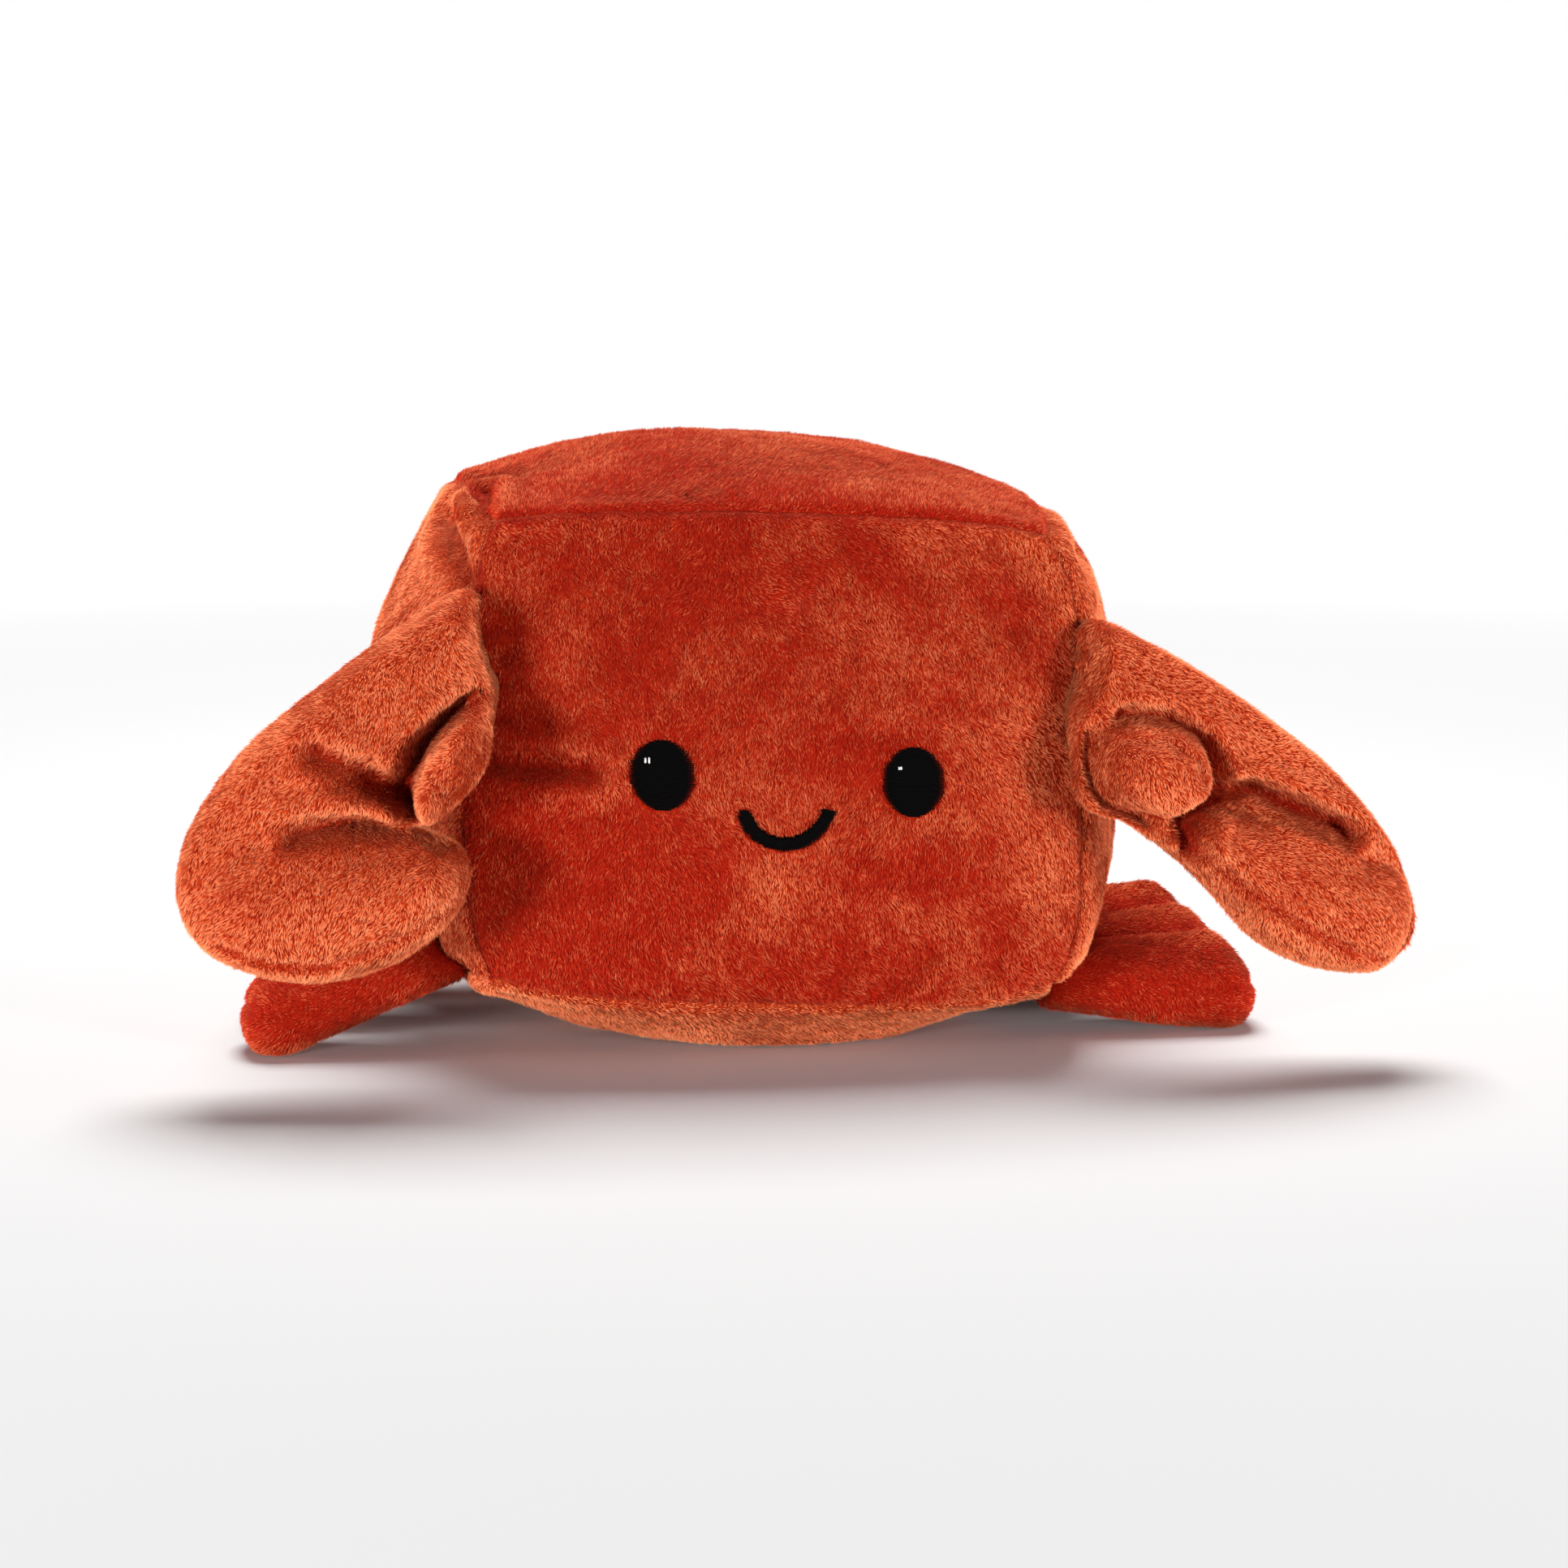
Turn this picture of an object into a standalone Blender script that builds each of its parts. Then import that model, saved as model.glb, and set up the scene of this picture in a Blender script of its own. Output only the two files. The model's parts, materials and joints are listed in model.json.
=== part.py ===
"""A plush crab: a stuffed cube of short-pile fabric with two curled claws, six stub legs
and an embroidered face.

Every fabric panel is a thin sheet of its own, turned in at its seams and filled by a piece of
stuffing. The crab stands on the floor at z = 0 and faces -Y. Left and right are the viewer's:
left is -X. All lengths are in metres.
"""

import math

import bmesh
import bpy
from mathutils import Vector
from mathutils.bvhtree import BVHTree

MIRROR = {"left": -1, "right": 1}       # the way along X that each side lies

# Fabric and the space between pieces that touch
FABRIC = 0.0018             # fabric with its backing and pressed pile
CLEARANCE = 0.0003          # between pieces that touch
REST_GAP = 0.0004           # between a limb and the body it is sewn to

# Body cube, between the corners of its seams
FACE_WIDTH = 0.1160
BODY_DEPTH = 0.1020
BODY_HEIGHT = 0.0962
SEAM_LOW = 0.0134           # height of the bottom seams at their corners
SEAM_HIGH = SEAM_LOW + BODY_HEIGHT
TOP_NARROWING = 0.0010      # how much each side draws in at the top
SIDE_SEAM_BOW = 0.0042      # how far the upright seams bow out sideways
SEAM_BOW = 0.0018           # how far every other seam bows out
SIDE_BULGE = 0.0130
FRONT_BULGE = 0.0080
TOP_BULGE = 0.0090
BOTTOM_BULGE = 0.0150
SIDE_SHOULDER = 0.0150      # extra fullness of the right side, above and below its middle
SHOULDER_AT_SEAM = 0.4      # share of that fullness left at the front and back seams
CORNER_PULL = 0.0012        # how far a corner is drawn in by the seams that meet there
CORNER_SHARPNESS = 4        # the higher, the nearer to its corner that pull stays
BACK_DROP = 0.0015          # how much lower the back's top seam lies
SLUMP = 0.040               # rise towards the left of the slumped stuffing
BODY_CELLS = (13, 8, 10)    # mesh cells along X, Y and Z
PANEL_MITRE = 0.75 * CLEARANCE      # how far each panel is drawn back from its seams

# Folds of the front panel, from (x, z) to (x, z), with depth and half width
FOLD_FADE = 6.0             # the higher, the nearer to the seams that folds run out
FACE_FOLDS = (
    ((-0.060, 0.0615), (-0.038, 0.0605), 0.0028, 0.0060),
    ((0.020, 0.0160), (0.030, 0.0250), 0.0020, 0.0060),
    ((0.031, 0.0140), (0.044, 0.0210), 0.0020, 0.0060),
)

# Embroidered face
EYE_WIDTH = 0.0125
EYE_HEIGHT = 0.0136
EYE_PLACES = {"left": (-0.0231, 0.0605), "right": (0.0259, 0.0580)}
HIGHLIGHT_SIZES = {"left": 0.0022, "right": 0.0013}
HIGHLIGHT_SHIFT = (-0.0029, 0.0030)
MOUTH_POINTS = ((-0.0075, 0.0534), (0.0010, 0.0466), (0.0092, 0.0530))
MOUTH_STROKE = 0.0028
THREAD_HEIGHT = 0.0009      # how far the stitching stands above the fabric
HIGHLIGHT_LIFT = THREAD_HEIGHT + 2.5 * CLEARANCE    # from the fabric to the highlights

# Claws: outlines are (outward, up) from the root at the front corner seam
CLAW_ROOT_DROP = {"left": 0.0166, "right": 0.0216}      # below the top seam
CLAW_ROOT_BOW = 0.6         # share of the side seam's bow at the root
CLAW_FORWARD = 0.0100       # how far a claw's middle sheet lies in front of its root
CLAW_FORWARD_DROP = 0.0120  # the drop over which it gets there
CLAW_BELLY = 0.0170         # greatest bulge of the front panel
CLAW_BACK_BELLY = 0.0130    # greatest bulge of the back panel
CLAW_YAW = {"left": 10.0, "right": 6.0}     # degrees that a claw's outer side turns back
CLAW_LEAN = 3.0             # degrees that its lower end leans forward
CLAW_CENTRES = {"left": (0.0224, -0.0403), "right": (0.0300, -0.0380)}
CLAW_OUTLINES = {
    "left": (
        (-0.0011, 0.0037), (-0.0032, -0.0060), (-0.0061, -0.0153), (-0.0064, -0.0269),
        (-0.0025, -0.0336), (0.0028, -0.0385), (0.0084, -0.0400), (0.0041, -0.0425),
        (-0.0012, -0.0452), (-0.0027, -0.0511), (-0.0002, -0.0570), (0.0055, -0.0629),
        (0.0148, -0.0681), (0.0273, -0.0707), (0.0398, -0.0687), (0.0495, -0.0635),
        (0.0540, -0.0533), (0.0512, -0.0402), (0.0410, -0.0256), (0.0269, -0.0139),
        (0.0129, -0.0038),
    ),
    "right": (
        (0.0014, 0.0002), (-0.0009, -0.0111), (-0.0053, -0.0204), (-0.0047, -0.0337),
        (0.0045, -0.0382), (0.0157, -0.0469), (0.0241, -0.0553), (0.0324, -0.0637),
        (0.0442, -0.0687), (0.0561, -0.0693), (0.0638, -0.0632), (0.0633, -0.0534),
        (0.0578, -0.0419), (0.0477, -0.0291), (0.0359, -0.0194), (0.0226, -0.0102),
        (0.0110, -0.0035),
    ),
}
# Folds of each claw's front panel, in the outline's measure, with depth and half width
CLAW_FOLDS = {
    "left": (
        ((0.0097, -0.0394), (0.0293, -0.0248), 0.0042, 0.0048),
        ((0.0097, -0.0394), (0.0341, -0.0419), 0.0038, 0.0048),
        ((0.0080, -0.0330), (0.0010, -0.0200), 0.0032, 0.0048),
    ),
    "right": (
        ((0.0225, -0.0350), (0.0250, -0.0250), 0.0042, 0.0048),
        ((0.0250, -0.0250), (0.0060, -0.0176), 0.0038, 0.0048),
        ((0.0225, -0.0350), (0.0544, -0.0418), 0.0032, 0.0048),
        ((0.0025, -0.0200), (0.0025, -0.0340), 0.0028, 0.0048),
    ),
}
CLAW_RINGS = 6
CLAW_SPOKES = 24
CLAW_RING_CROWDING = 0.9    # below 1 the rings crowd less towards the rim
CLAW_FULLNESS = 2.4         # the higher, the flatter the middle of a claw's panel
CLAW_RIM_SLOPE = 0.6        # the lower, the steeper its rim
CLAW_SLENDER = 1.35         # a spoke shorter than this many bellies gets a lower bulge
CLAW_FOLD_MOST = 0.6        # share of the bulge that a fold may take away

# Legs: three on each side, along X, resting on the floor
LEG_FIRST = -0.1961 * BODY_DEPTH    # place along Y of the front pair
LEG_PITCH = 0.2745 * BODY_DEPTH
LEG_REACH = 0.0450          # beyond the corner of the body's seams
LEG_WIDTH = 0.0240
LEG_ROOT_HEIGHT = 0.0130
LEG_ROOT_LIFT = {"left": 0.0045, "right": 0.0}      # above the body's bottom seam
LEG_HEIGHT = 0.0215
LEG_SQUASH = 0.90           # share of its height that a leg keeps under its own weight
LEG_ROUNDING = 0.70         # share of its length at which the tip starts to close
LEG_SQUARENESS = 0.85       # below 1 a leg's section is fuller than an ellipse
LEG_ROW_CROWDING = 0.85     # below 1 the rows crowd less towards the tip
ROOT_TESTS = (1.0, 0.92, 0.85)      # where a leg's root is tested, as shares of its section
CORE_TESTS = (0.85, 0.6, 0.3, 0.0)  # and where its stuffing's is
ROOT_TURNS = 72             # places round the section where it is tested
LEG_CELLS = (6, 5)          # mesh cells along the leg and round half of it


# Colour and roughness of each kind of surface
RUST = ((0.546, 0.072, 0.028), 0.85)
FIBRE = ((0.86, 0.85, 0.82), 0.95)
BLACK_THREAD = ((0.004, 0.003, 0.003), 0.35)
WHITE_THREAD = ((0.85, 0.85, 0.85), 0.35)


def named_material(name, colour, roughness):
    """A Principled material with one colour and roughness."""
    material = bpy.data.materials.new(name)
    material.use_nodes = True
    shader = material.node_tree.nodes["Principled BSDF"]
    shader.inputs["Base Color"].default_value = (*colour, 1.0)
    shader.inputs["Roughness"].default_value = roughness
    shader.inputs["Metallic"].default_value = 0.0
    return material


def closed_object(name, polygons, finish):
    """One closed mesh object from loose polygons, with equal corners made one vertex."""
    index, points, faces = {}, [], []
    for polygon in polygons:
        face = []
        for point in polygon:
            key = tuple(round(c, 7) for c in point)
            if key not in index:
                index[key] = len(points)
                points.append(Vector(key))
            if index[key] not in face:
                face.append(index[key])
        if len(face) > 2:
            faces.append(face)
    mesh = bpy.data.meshes.new(name)
    mesh.from_pydata(points, [], faces)
    shaped = bmesh.new()
    shaped.from_mesh(mesh)
    bmesh.ops.recalc_face_normals(shaped, faces=shaped.faces[:])
    if shaped.calc_volume(signed=True) < 0:
        bmesh.ops.reverse_faces(shaped, faces=shaped.faces[:])
    shaped.to_mesh(mesh)
    shaped.free()
    mesh.shade_smooth()
    mesh.set_sharp_from_angle(angle=math.radians(50))
    mesh.materials.append(named_material(name, *finish))
    thing = bpy.data.objects.new(name, mesh)
    bpy.context.scene.collection.objects.link(thing)
    return thing


def strip(one, other):
    """The triangles between two rows of points, all split along the same diagonal."""
    triangles = []
    for i in range(len(one) - 1):
        triangles += [(one[i], one[i + 1], other[i + 1]), (one[i], other[i + 1], other[i])]
    return triangles


def surface(grid):
    """The triangles of a grid of points."""
    return [triangle for one, other in zip(grid, grid[1:]) for triangle in strip(one, other)]


def sheet(outer, inner, round_about=False):
    """A sheet of fabric between its outer and its inner grid, closed at its edges."""
    polygons = surface(outer) + surface(inner)
    polygons += strip(outer[0], inner[0]) + strip(outer[-1], inner[-1])
    if not round_about:
        polygons += strip([row[0] for row in outer], [row[0] for row in inner])
        polygons += strip([row[-1] for row in outer], [row[-1] for row in inner])
    return polygons


def steps(count, low=0.0, high=1.0):
    """Evenly spaced values from low to high."""
    return [low + (high - low) * i / count for i in range(count + 1)]


def fold_depth(folds, across, up):
    """How far folds draw the fabric in at one place: a smooth trough along each segment."""
    here, depth = Vector((across, up)), 0.0
    for start, end, deepest, half_width in folds:
        a, b = Vector(start), Vector(end)
        share = max(0.0, min(1.0, (here - a).dot(b - a) / (b - a).length_squared))
        away = (here - a.lerp(b, share)).length
        depth = max(depth, deepest * math.exp(-((away / half_width) ** 2)))
    return depth


# Body

def body_point(u, v, w, inset):
    """A place on the stuffed cube, from its place on the cube of side 2, one inset deep."""
    eu, ev, ew = 1 - u * u, 1 - v * v, 1 - w * w
    half_height = (SEAM_HIGH - SEAM_LOW) / 2
    crown = TOP_BULGE if w > 0 else BOTTOM_BULGE
    pull = CORNER_PULL * (u * v * w) ** CORNER_SHARPNESS
    shoulder = SIDE_SHOULDER * max(0.0, u) * w * w * ew
    shoulder *= SHOULDER_AT_SEAM + (1 - SHOULDER_AT_SEAM) * ev
    x = u * (FACE_WIDTH / 2 - inset - pull - TOP_NARROWING * w + SIDE_SEAM_BOW * ew
             + SEAM_BOW * ev + SIDE_BULGE * ev * ew + shoulder)
    y = v * (BODY_DEPTH / 2 - inset - pull + SEAM_BOW * (eu + ew) + FRONT_BULGE * eu * ew)
    z = w * (half_height - inset - pull + SEAM_BOW * (eu + ev) + crown * eu * ev)
    z += (SEAM_HIGH + SEAM_LOW) / 2 - BACK_DROP * max(0.0, w) * (1 + v) / 2
    if v < 0:
        fade = min(1.0, FOLD_FADE * ew) * min(1.0, FOLD_FADE * eu) * v * v
        y += fade * fold_depth(FACE_FOLDS, x, z)
    return Vector((x, y, max(inset, z - SLUMP * x)))


def cube_place(axis, sign, a, b):
    """The place (u, v, w) on the cube's side that faces along an axis."""
    place = [a, b]
    place.insert(axis, sign)
    return place


def body_grid(axis, sign, inset, mitre):
    """One side of the body as a grid, drawn back from its seams by the mitre."""
    sizes = (FACE_WIDTH / 2, BODY_DEPTH / 2, (SEAM_HIGH - SEAM_LOW) / 2)
    first, second = [i for i in range(3) if i != axis]
    edge_a = 1 - mitre / (sizes[first] - inset)
    edge_b = 1 - mitre / (sizes[second] - inset)
    return [
        [body_point(*cube_place(axis, sign, a, b), inset)
         for b in steps(BODY_CELLS[second], -edge_b, edge_b)]
        for a in steps(BODY_CELLS[first], -edge_a, edge_a)
    ]


BODY_SIDES = {
    "left_side_panel": "-X", "right_side_panel": "+X",
    "front_panel": "-Y", "back_panel": "+Y",
    "base_panel": "-Z", "top_panel": "+Z",
}


def build_body():
    """Six panels round one piece of stuffing. Gives the outside, unbroken at its seams."""
    skin, core = [], []
    for name, (way, letter) in BODY_SIDES.items():
        facing = ("XYZ".index(letter), -1 if way == "-" else 1)
        outer = body_grid(*facing, 0.0, PANEL_MITRE)
        closed_object(name, sheet(outer, body_grid(*facing, FABRIC, PANEL_MITRE)), RUST)
        skin += surface(body_grid(*facing, 0.0, 0.0))
        core += surface(body_grid(*facing, FABRIC + CLEARANCE, 0.0))
    closed_object("body_stuffing", core, FIBRE)
    return skin


def surface_tree(polygons):
    """A search tree over loose polygons."""
    points = [point for polygon in polygons for point in polygon]
    faces, start = [], 0
    for polygon in polygons:
        faces.append(tuple(range(start, start + len(polygon))))
        start += len(polygon)
    return BVHTree.FromPolygons(points, faces)


# Embroidery

def front_depth(tree, x, z):
    """The place along Y of the front panel's outside at x and z."""
    return tree.ray_cast(Vector((x, -0.5, z)), Vector((0, 1, 0)))[0].y


def stitched_patch(name, tree, rows, lift, height, finish):
    """A patch of stitching that follows the face: rows of (x, z), lift above the fabric."""
    def layer(above):
        return [[Vector((x, front_depth(tree, x, z) - above, z)) for x, z in row]
                for row in rows]
    closed_object(name, sheet(layer(lift + height), layer(lift)), finish)


def oval_rows(centre, width, height, cells=6):
    """An oval as rows of points, squared in to its rim."""
    rows = []
    for b in steps(cells, -1, 1):
        row = []
        for a in steps(cells, -1, 1):
            reach = max(abs(a), abs(b))
            scale = reach / math.hypot(a, b) if reach else 0.0
            row.append((centre[0] + a * scale * width / 2, centre[1] + b * scale * height / 2))
        rows.append(row)
    return rows


def mouth_rows(cells=16):
    """The smile: an arc through its ends and its lowest point, one stroke wide."""
    left, low, right = (Vector(p) for p in MOUTH_POINTS)
    half = (right - left).length / 2
    sag = ((left + right) / 2 - low).length
    radius = (half * half + sag * sag) / (2 * sag)
    centre = low + ((left + right) / 2 - low).normalized() * radius
    start, end = (math.atan2(p.y - centre.y, p.x - centre.x) for p in (left, right))
    return [
        [(centre.x + (radius + side * MOUTH_STROKE / 2) * math.cos(turn),
          centre.y + (radius + side * MOUTH_STROKE / 2) * math.sin(turn))
         for turn in steps(cells, start, end)]
        for side in (-1, 0, 1)
    ]


def build_face(tree):
    """Two eyes with their highlights, and the smile."""
    for side, (x, z) in EYE_PLACES.items():
        stitched_patch(side + "_eye", tree, oval_rows((x, z), EYE_WIDTH, EYE_HEIGHT),
                       CLEARANCE, THREAD_HEIGHT, BLACK_THREAD)
        spot = (x + HIGHLIGHT_SHIFT[0], z + HIGHLIGHT_SHIFT[1])
        size = HIGHLIGHT_SIZES[side]
        stitched_patch(side + "_eye_highlight", tree, oval_rows(spot, size, size, 4),
                       HIGHLIGHT_LIFT, THREAD_HEIGHT / 2, WHITE_THREAD)
    stitched_patch("mouth", tree, mouth_rows(), CLEARANCE, THREAD_HEIGHT, BLACK_THREAD)


# Claws

def smooth_outline(points, count):
    """A closed smooth curve through points, read at evenly counted places."""
    total, curve = len(points), []
    for i in range(count):
        place = i * total / count
        k, t = int(place), place - int(place)
        p0, p1, p2, p3 = (Vector(points[(k + d) % total]) for d in (-1, 0, 1, 2))
        curve.append(0.5 * (2 * p1 + (p2 - p0) * t + (2 * p0 - 5 * p1 + 4 * p2 - p3) * t ** 2
                            + (3 * p1 - p0 - 3 * p2 + p3) * t ** 3))
    return curve + curve[:1]


def claw_place(side, across, up, raised):
    """A place in space, from a claw's own measure: raised stands out of its middle sheet."""
    mirror = MIRROR[side]
    yaw, lean = math.radians(CLAW_YAW[side]), math.radians(CLAW_LEAN)
    outward = Vector((mirror * math.cos(yaw), math.sin(yaw), 0))
    front = Vector((mirror * math.sin(yaw), -math.cos(yaw), 0))
    upward = Vector((0, 0, math.cos(lean))) - front * math.sin(lean)
    forward = CLAW_FORWARD * (1 - math.exp(min(0.0, up) / CLAW_FORWARD_DROP))
    root = Vector((mirror * (FACE_WIDTH / 2 + SIDE_SEAM_BOW * CLAW_ROOT_BOW), -BODY_DEPTH / 2,
                   SEAM_HIGH - CLAW_ROOT_DROP[side]))
    return root + outward * across + upward * up + front * (forward + raised)


def claw_grid(side, belly, inset, front):
    """One panel of a claw as rings from its centre to its outline, one inset deep."""
    outline = smooth_outline(CLAW_OUTLINES[side], CLAW_SPOKES)
    centre = Vector(CLAW_CENTRES[side])
    rings = []
    for share in steps(CLAW_RINGS):
        ring = []
        ring_share = math.sin(share * math.pi / 2) ** CLAW_RING_CROWDING
        for rim in outline:
            reach = rim - centre
            place = centre + reach * ring_share * (1 - inset / reach.length)
            narrow = 1 - ring_share * max(0.0, 1 - reach.length / (CLAW_SLENDER * belly))
            height = (belly * narrow - inset) * (1 - ring_share ** CLAW_FULLNESS) ** CLAW_RIM_SLOPE
            if front:
                folds = fold_depth(CLAW_FOLDS[side], place.x, place.y)
                height -= min(folds, CLAW_FOLD_MOST * height)
            height = max(height, 0.0) + CLEARANCE / 2
            ring.append(claw_place(side, place.x, place.y, height if front else -height))
        rings.append(ring)
    return rings


def y_gaps(triangles, tree, way):
    """How far the corners of triangles lie from a surface that is the given way along Y."""
    gaps = []
    for point in (corner for triangle in triangles for corner in triangle):
        hit = tree.ray_cast(point - Vector((0, way * BODY_DEPTH, 0)), Vector((0, way, 0)))[0]
        if hit:
            gaps.append((hit.y - point.y) * way)
    return gaps


def build_claw(side, body):
    """A claw's two panels and its stuffing, pressed back until it rests on the body."""
    panels = {
        "front": [claw_grid(side, CLAW_BELLY, inset, True) for inset in (0.0, FABRIC)],
        "back": [claw_grid(side, CLAW_BACK_BELLY, inset, False) for inset in (0.0, FABRIC)],
    }
    fill = FABRIC + CLEARANCE
    core = [claw_grid(side, CLAW_BELLY, fill, True), claw_grid(side, CLAW_BACK_BELLY, fill, False)]
    core_mesh = surface(core[0]) + surface(core[1]) + strip(core[0][-1], core[1][-1])
    claw = surface(panels["back"][0]) + surface(panels["front"][0])
    gaps = y_gaps(claw, surface_tree(body), 1) + y_gaps(body, surface_tree(claw), -1)
    shift = Vector((0, min(gaps) - REST_GAP, 0))

    def moved(polygons):
        return [[point + shift for point in polygon] for polygon in polygons]
    for name, (outer, inner) in panels.items():
        closed_object(f"{side}_claw_{name}", moved(sheet(outer, inner, True)), RUST)
    closed_object(f"{side}_claw_stuffing", moved(core_mesh), FIBRE)


# Legs

def leg_level(side, along):
    """The height of a leg's seam: the body's seam at the root, resting at the tip."""
    root = SEAM_LOW - MIRROR[side] * SLUMP * FACE_WIDTH / 2 + LEG_ROOT_LIFT[side]
    rest = LEG_HEIGHT * LEG_SQUASH / 2
    return root + (rest - root) * min(1.0, along / LEG_ROUNDING)


def squared(part):
    """A sine or cosine made a little fuller, for a section fuller than an ellipse."""
    return math.copysign(abs(part) ** LEG_SQUARENESS, part)


def leg_root(tree, side, middle, shares):
    """The plane on which a leg starts, clear of the body: its place along X, and its slopes.

    The shares pick where the plane is tested: 1 is the leg's outside and 0 its middle."""
    level = leg_level(side, 0.0)

    def reach(turn, share):
        y = middle + share * squared(math.cos(turn)) * LEG_WIDTH / 2
        z = level + share * squared(math.sin(turn)) * LEG_ROOT_HEIGHT / 2
        start = Vector((MIRROR[side] * 2 * FACE_WIDTH, y, z))
        hit = tree.ray_cast(start, Vector((-MIRROR[side], 0, 0)))[0]
        return abs(hit.x) if hit else 0.0, y, z
    rising = (reach(math.pi / 2, 1)[0] - reach(-math.pi / 2, 1)[0]) / LEG_ROOT_HEIGHT
    turning = (reach(0.0, 1)[0] - reach(math.pi, 1)[0]) / LEG_WIDTH
    turns = steps(ROOT_TURNS, 0.0, 2 * math.pi)
    tested = [reach(turn, share) for turn in turns for share in shares]
    return max(x - turning * y - rising * z for x, y, z in tested) + REST_GAP, turning, rising


def leg_half(side, middle, root, upper, inset):
    """The upper or lower half of a leg as rows from its root to its tip, one inset deep."""
    base, turning, rising = root
    tip = FACE_WIDTH / 2 + LEG_REACH - inset
    grid = []
    for place in steps(LEG_CELLS[0]):
        along = math.sin(place * math.pi / 2) ** LEG_ROW_CROWDING
        closing = max(0.0, (along - LEG_ROUNDING) / (1 - LEG_ROUNDING))
        taper = math.sqrt(max(0.0, 1 - closing ** 2))
        growth = min(1.0, along / LEG_ROUNDING)
        height = LEG_ROOT_HEIGHT + (LEG_HEIGHT - LEG_ROOT_HEIGHT) * growth
        row = []
        for turn in steps(LEG_CELLS[1], 0.0, math.pi):
            rise = max(taper * (height / 2 - inset) * squared(math.sin(turn)), CLEARANCE / 2)
            y = middle + taper * (LEG_WIDTH / 2 - inset) * squared(math.cos(turn))
            z = max(inset, leg_level(side, along) + (rise if upper else -rise))
            start = base + turning * y + rising * z
            row.append(Vector((MIRROR[side] * (start + (tip - start) * along), y, z)))
        grid.append(row)
    return grid


def build_leg(name, side, middle, tree):
    """A leg's upper and lower panel and its stuffing."""
    root = leg_root(tree, side, middle, ROOT_TESTS)
    for label, upper in (("upper", True), ("lower", False)):
        skin = sheet(*(leg_half(side, middle, root, upper, inset) for inset in (0.0, FABRIC)))
        closed_object(f"{name}_{label}", skin, RUST)
    root = leg_root(tree, side, middle, CORE_TESTS)
    top, bottom = (leg_half(side, middle, root, upper, FABRIC + CLEARANCE)
                   for upper in (True, False))
    core = surface(top) + surface(bottom) + strip(top[0], bottom[0])
    for edge in (0, -1):
        core += strip([row[edge] for row in top], [row[edge] for row in bottom])
    closed_object(f"{name}_stuffing", core, FIBRE)


def main():
    """Clears the scene and builds the crab."""
    for thing in list(bpy.data.objects):
        bpy.data.objects.remove(thing, do_unlink=True)
    body = build_body()
    tree = surface_tree(body)
    build_face(tree)
    for side in MIRROR:
        build_claw(side, body)
        for i, place in enumerate(("front", "middle", "rear")):
            build_leg(f"{side}_{place}_leg", side, LEG_FIRST + i * LEG_PITCH, tree)


main()
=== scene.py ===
"""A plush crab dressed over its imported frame: smooth covers with seams and creases, a short
pile grown over them, an embroidered face and a plain studio.

The crab stands on the floor at z = 0 and faces -Y. Left and right are the viewer's: left is
-X. All lengths are in metres.
"""

import itertools
import json
import math

import bpy
import numpy as np
from bpy.props import FloatProperty, FloatVectorProperty, PointerProperty
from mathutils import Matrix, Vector
from mathutils.bvhtree import BVHTree

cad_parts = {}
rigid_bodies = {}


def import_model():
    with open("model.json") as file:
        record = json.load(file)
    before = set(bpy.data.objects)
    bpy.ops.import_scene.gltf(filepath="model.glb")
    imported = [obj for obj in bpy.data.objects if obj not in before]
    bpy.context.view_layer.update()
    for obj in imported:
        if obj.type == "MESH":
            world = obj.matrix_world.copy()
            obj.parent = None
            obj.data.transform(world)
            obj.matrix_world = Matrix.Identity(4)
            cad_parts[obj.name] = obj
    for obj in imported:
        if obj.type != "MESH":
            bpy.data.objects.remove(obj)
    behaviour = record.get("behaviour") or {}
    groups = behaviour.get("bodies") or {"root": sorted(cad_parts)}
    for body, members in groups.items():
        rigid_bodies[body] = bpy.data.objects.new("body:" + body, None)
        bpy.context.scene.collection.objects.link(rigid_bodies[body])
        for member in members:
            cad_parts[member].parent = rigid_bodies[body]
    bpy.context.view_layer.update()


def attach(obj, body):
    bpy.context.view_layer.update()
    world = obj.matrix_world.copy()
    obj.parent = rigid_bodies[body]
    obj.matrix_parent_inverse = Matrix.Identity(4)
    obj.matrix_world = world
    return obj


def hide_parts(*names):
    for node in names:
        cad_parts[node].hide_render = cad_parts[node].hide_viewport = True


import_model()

bl_info = {
    "name": "Plush Crab",
    "version": (1, 0, 0),
    "blender": (4, 5, 0),
    "location": "3D View > Sidebar > Plush Crab",
    "description": "Covers, pile, embroidery and studio for a plush crab",
    "category": "Add Mesh",
}

MIRROR = {"left": -1, "right": 1}       # the way along X that each side lies

# Body cube, between the corners of its seams, as in the part's source
FACE_WIDTH = 0.1160
TOP_NARROWING = 0.0010      # how much nearer the middle the top's side seams lie
BODY_DEPTH = 0.1020
SEAM_LOW = 0.0134
SEAM_HIGH = 0.1096
SIDE_SEAM_BOW = 0.0042      # how far the upright seams bow out sideways between their ends
SEAM_BOW = 0.0018           # how far the others bow out
SIDE_BULGE = 0.0130
FRONT_BULGE = 0.0080
TOP_BULGE = 0.0090
BOTTOM_BULGE = 0.0150
SIDE_SHOULDER = 0.0150      # how far the right side stands out more near its top and foot
CORNER_PULL = 0.0012
BACK_DROP = 0.0015          # how much lower the top's back seam lies
SLUMP = 0.040               # how much lower the body lies, for each metre to the right
BODY_CUTS = 90              # cuts across each side of the cube
SEAM_CROWDING = 0.60        # how far the cuts crowd towards the seams, from 0 to 1

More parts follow.
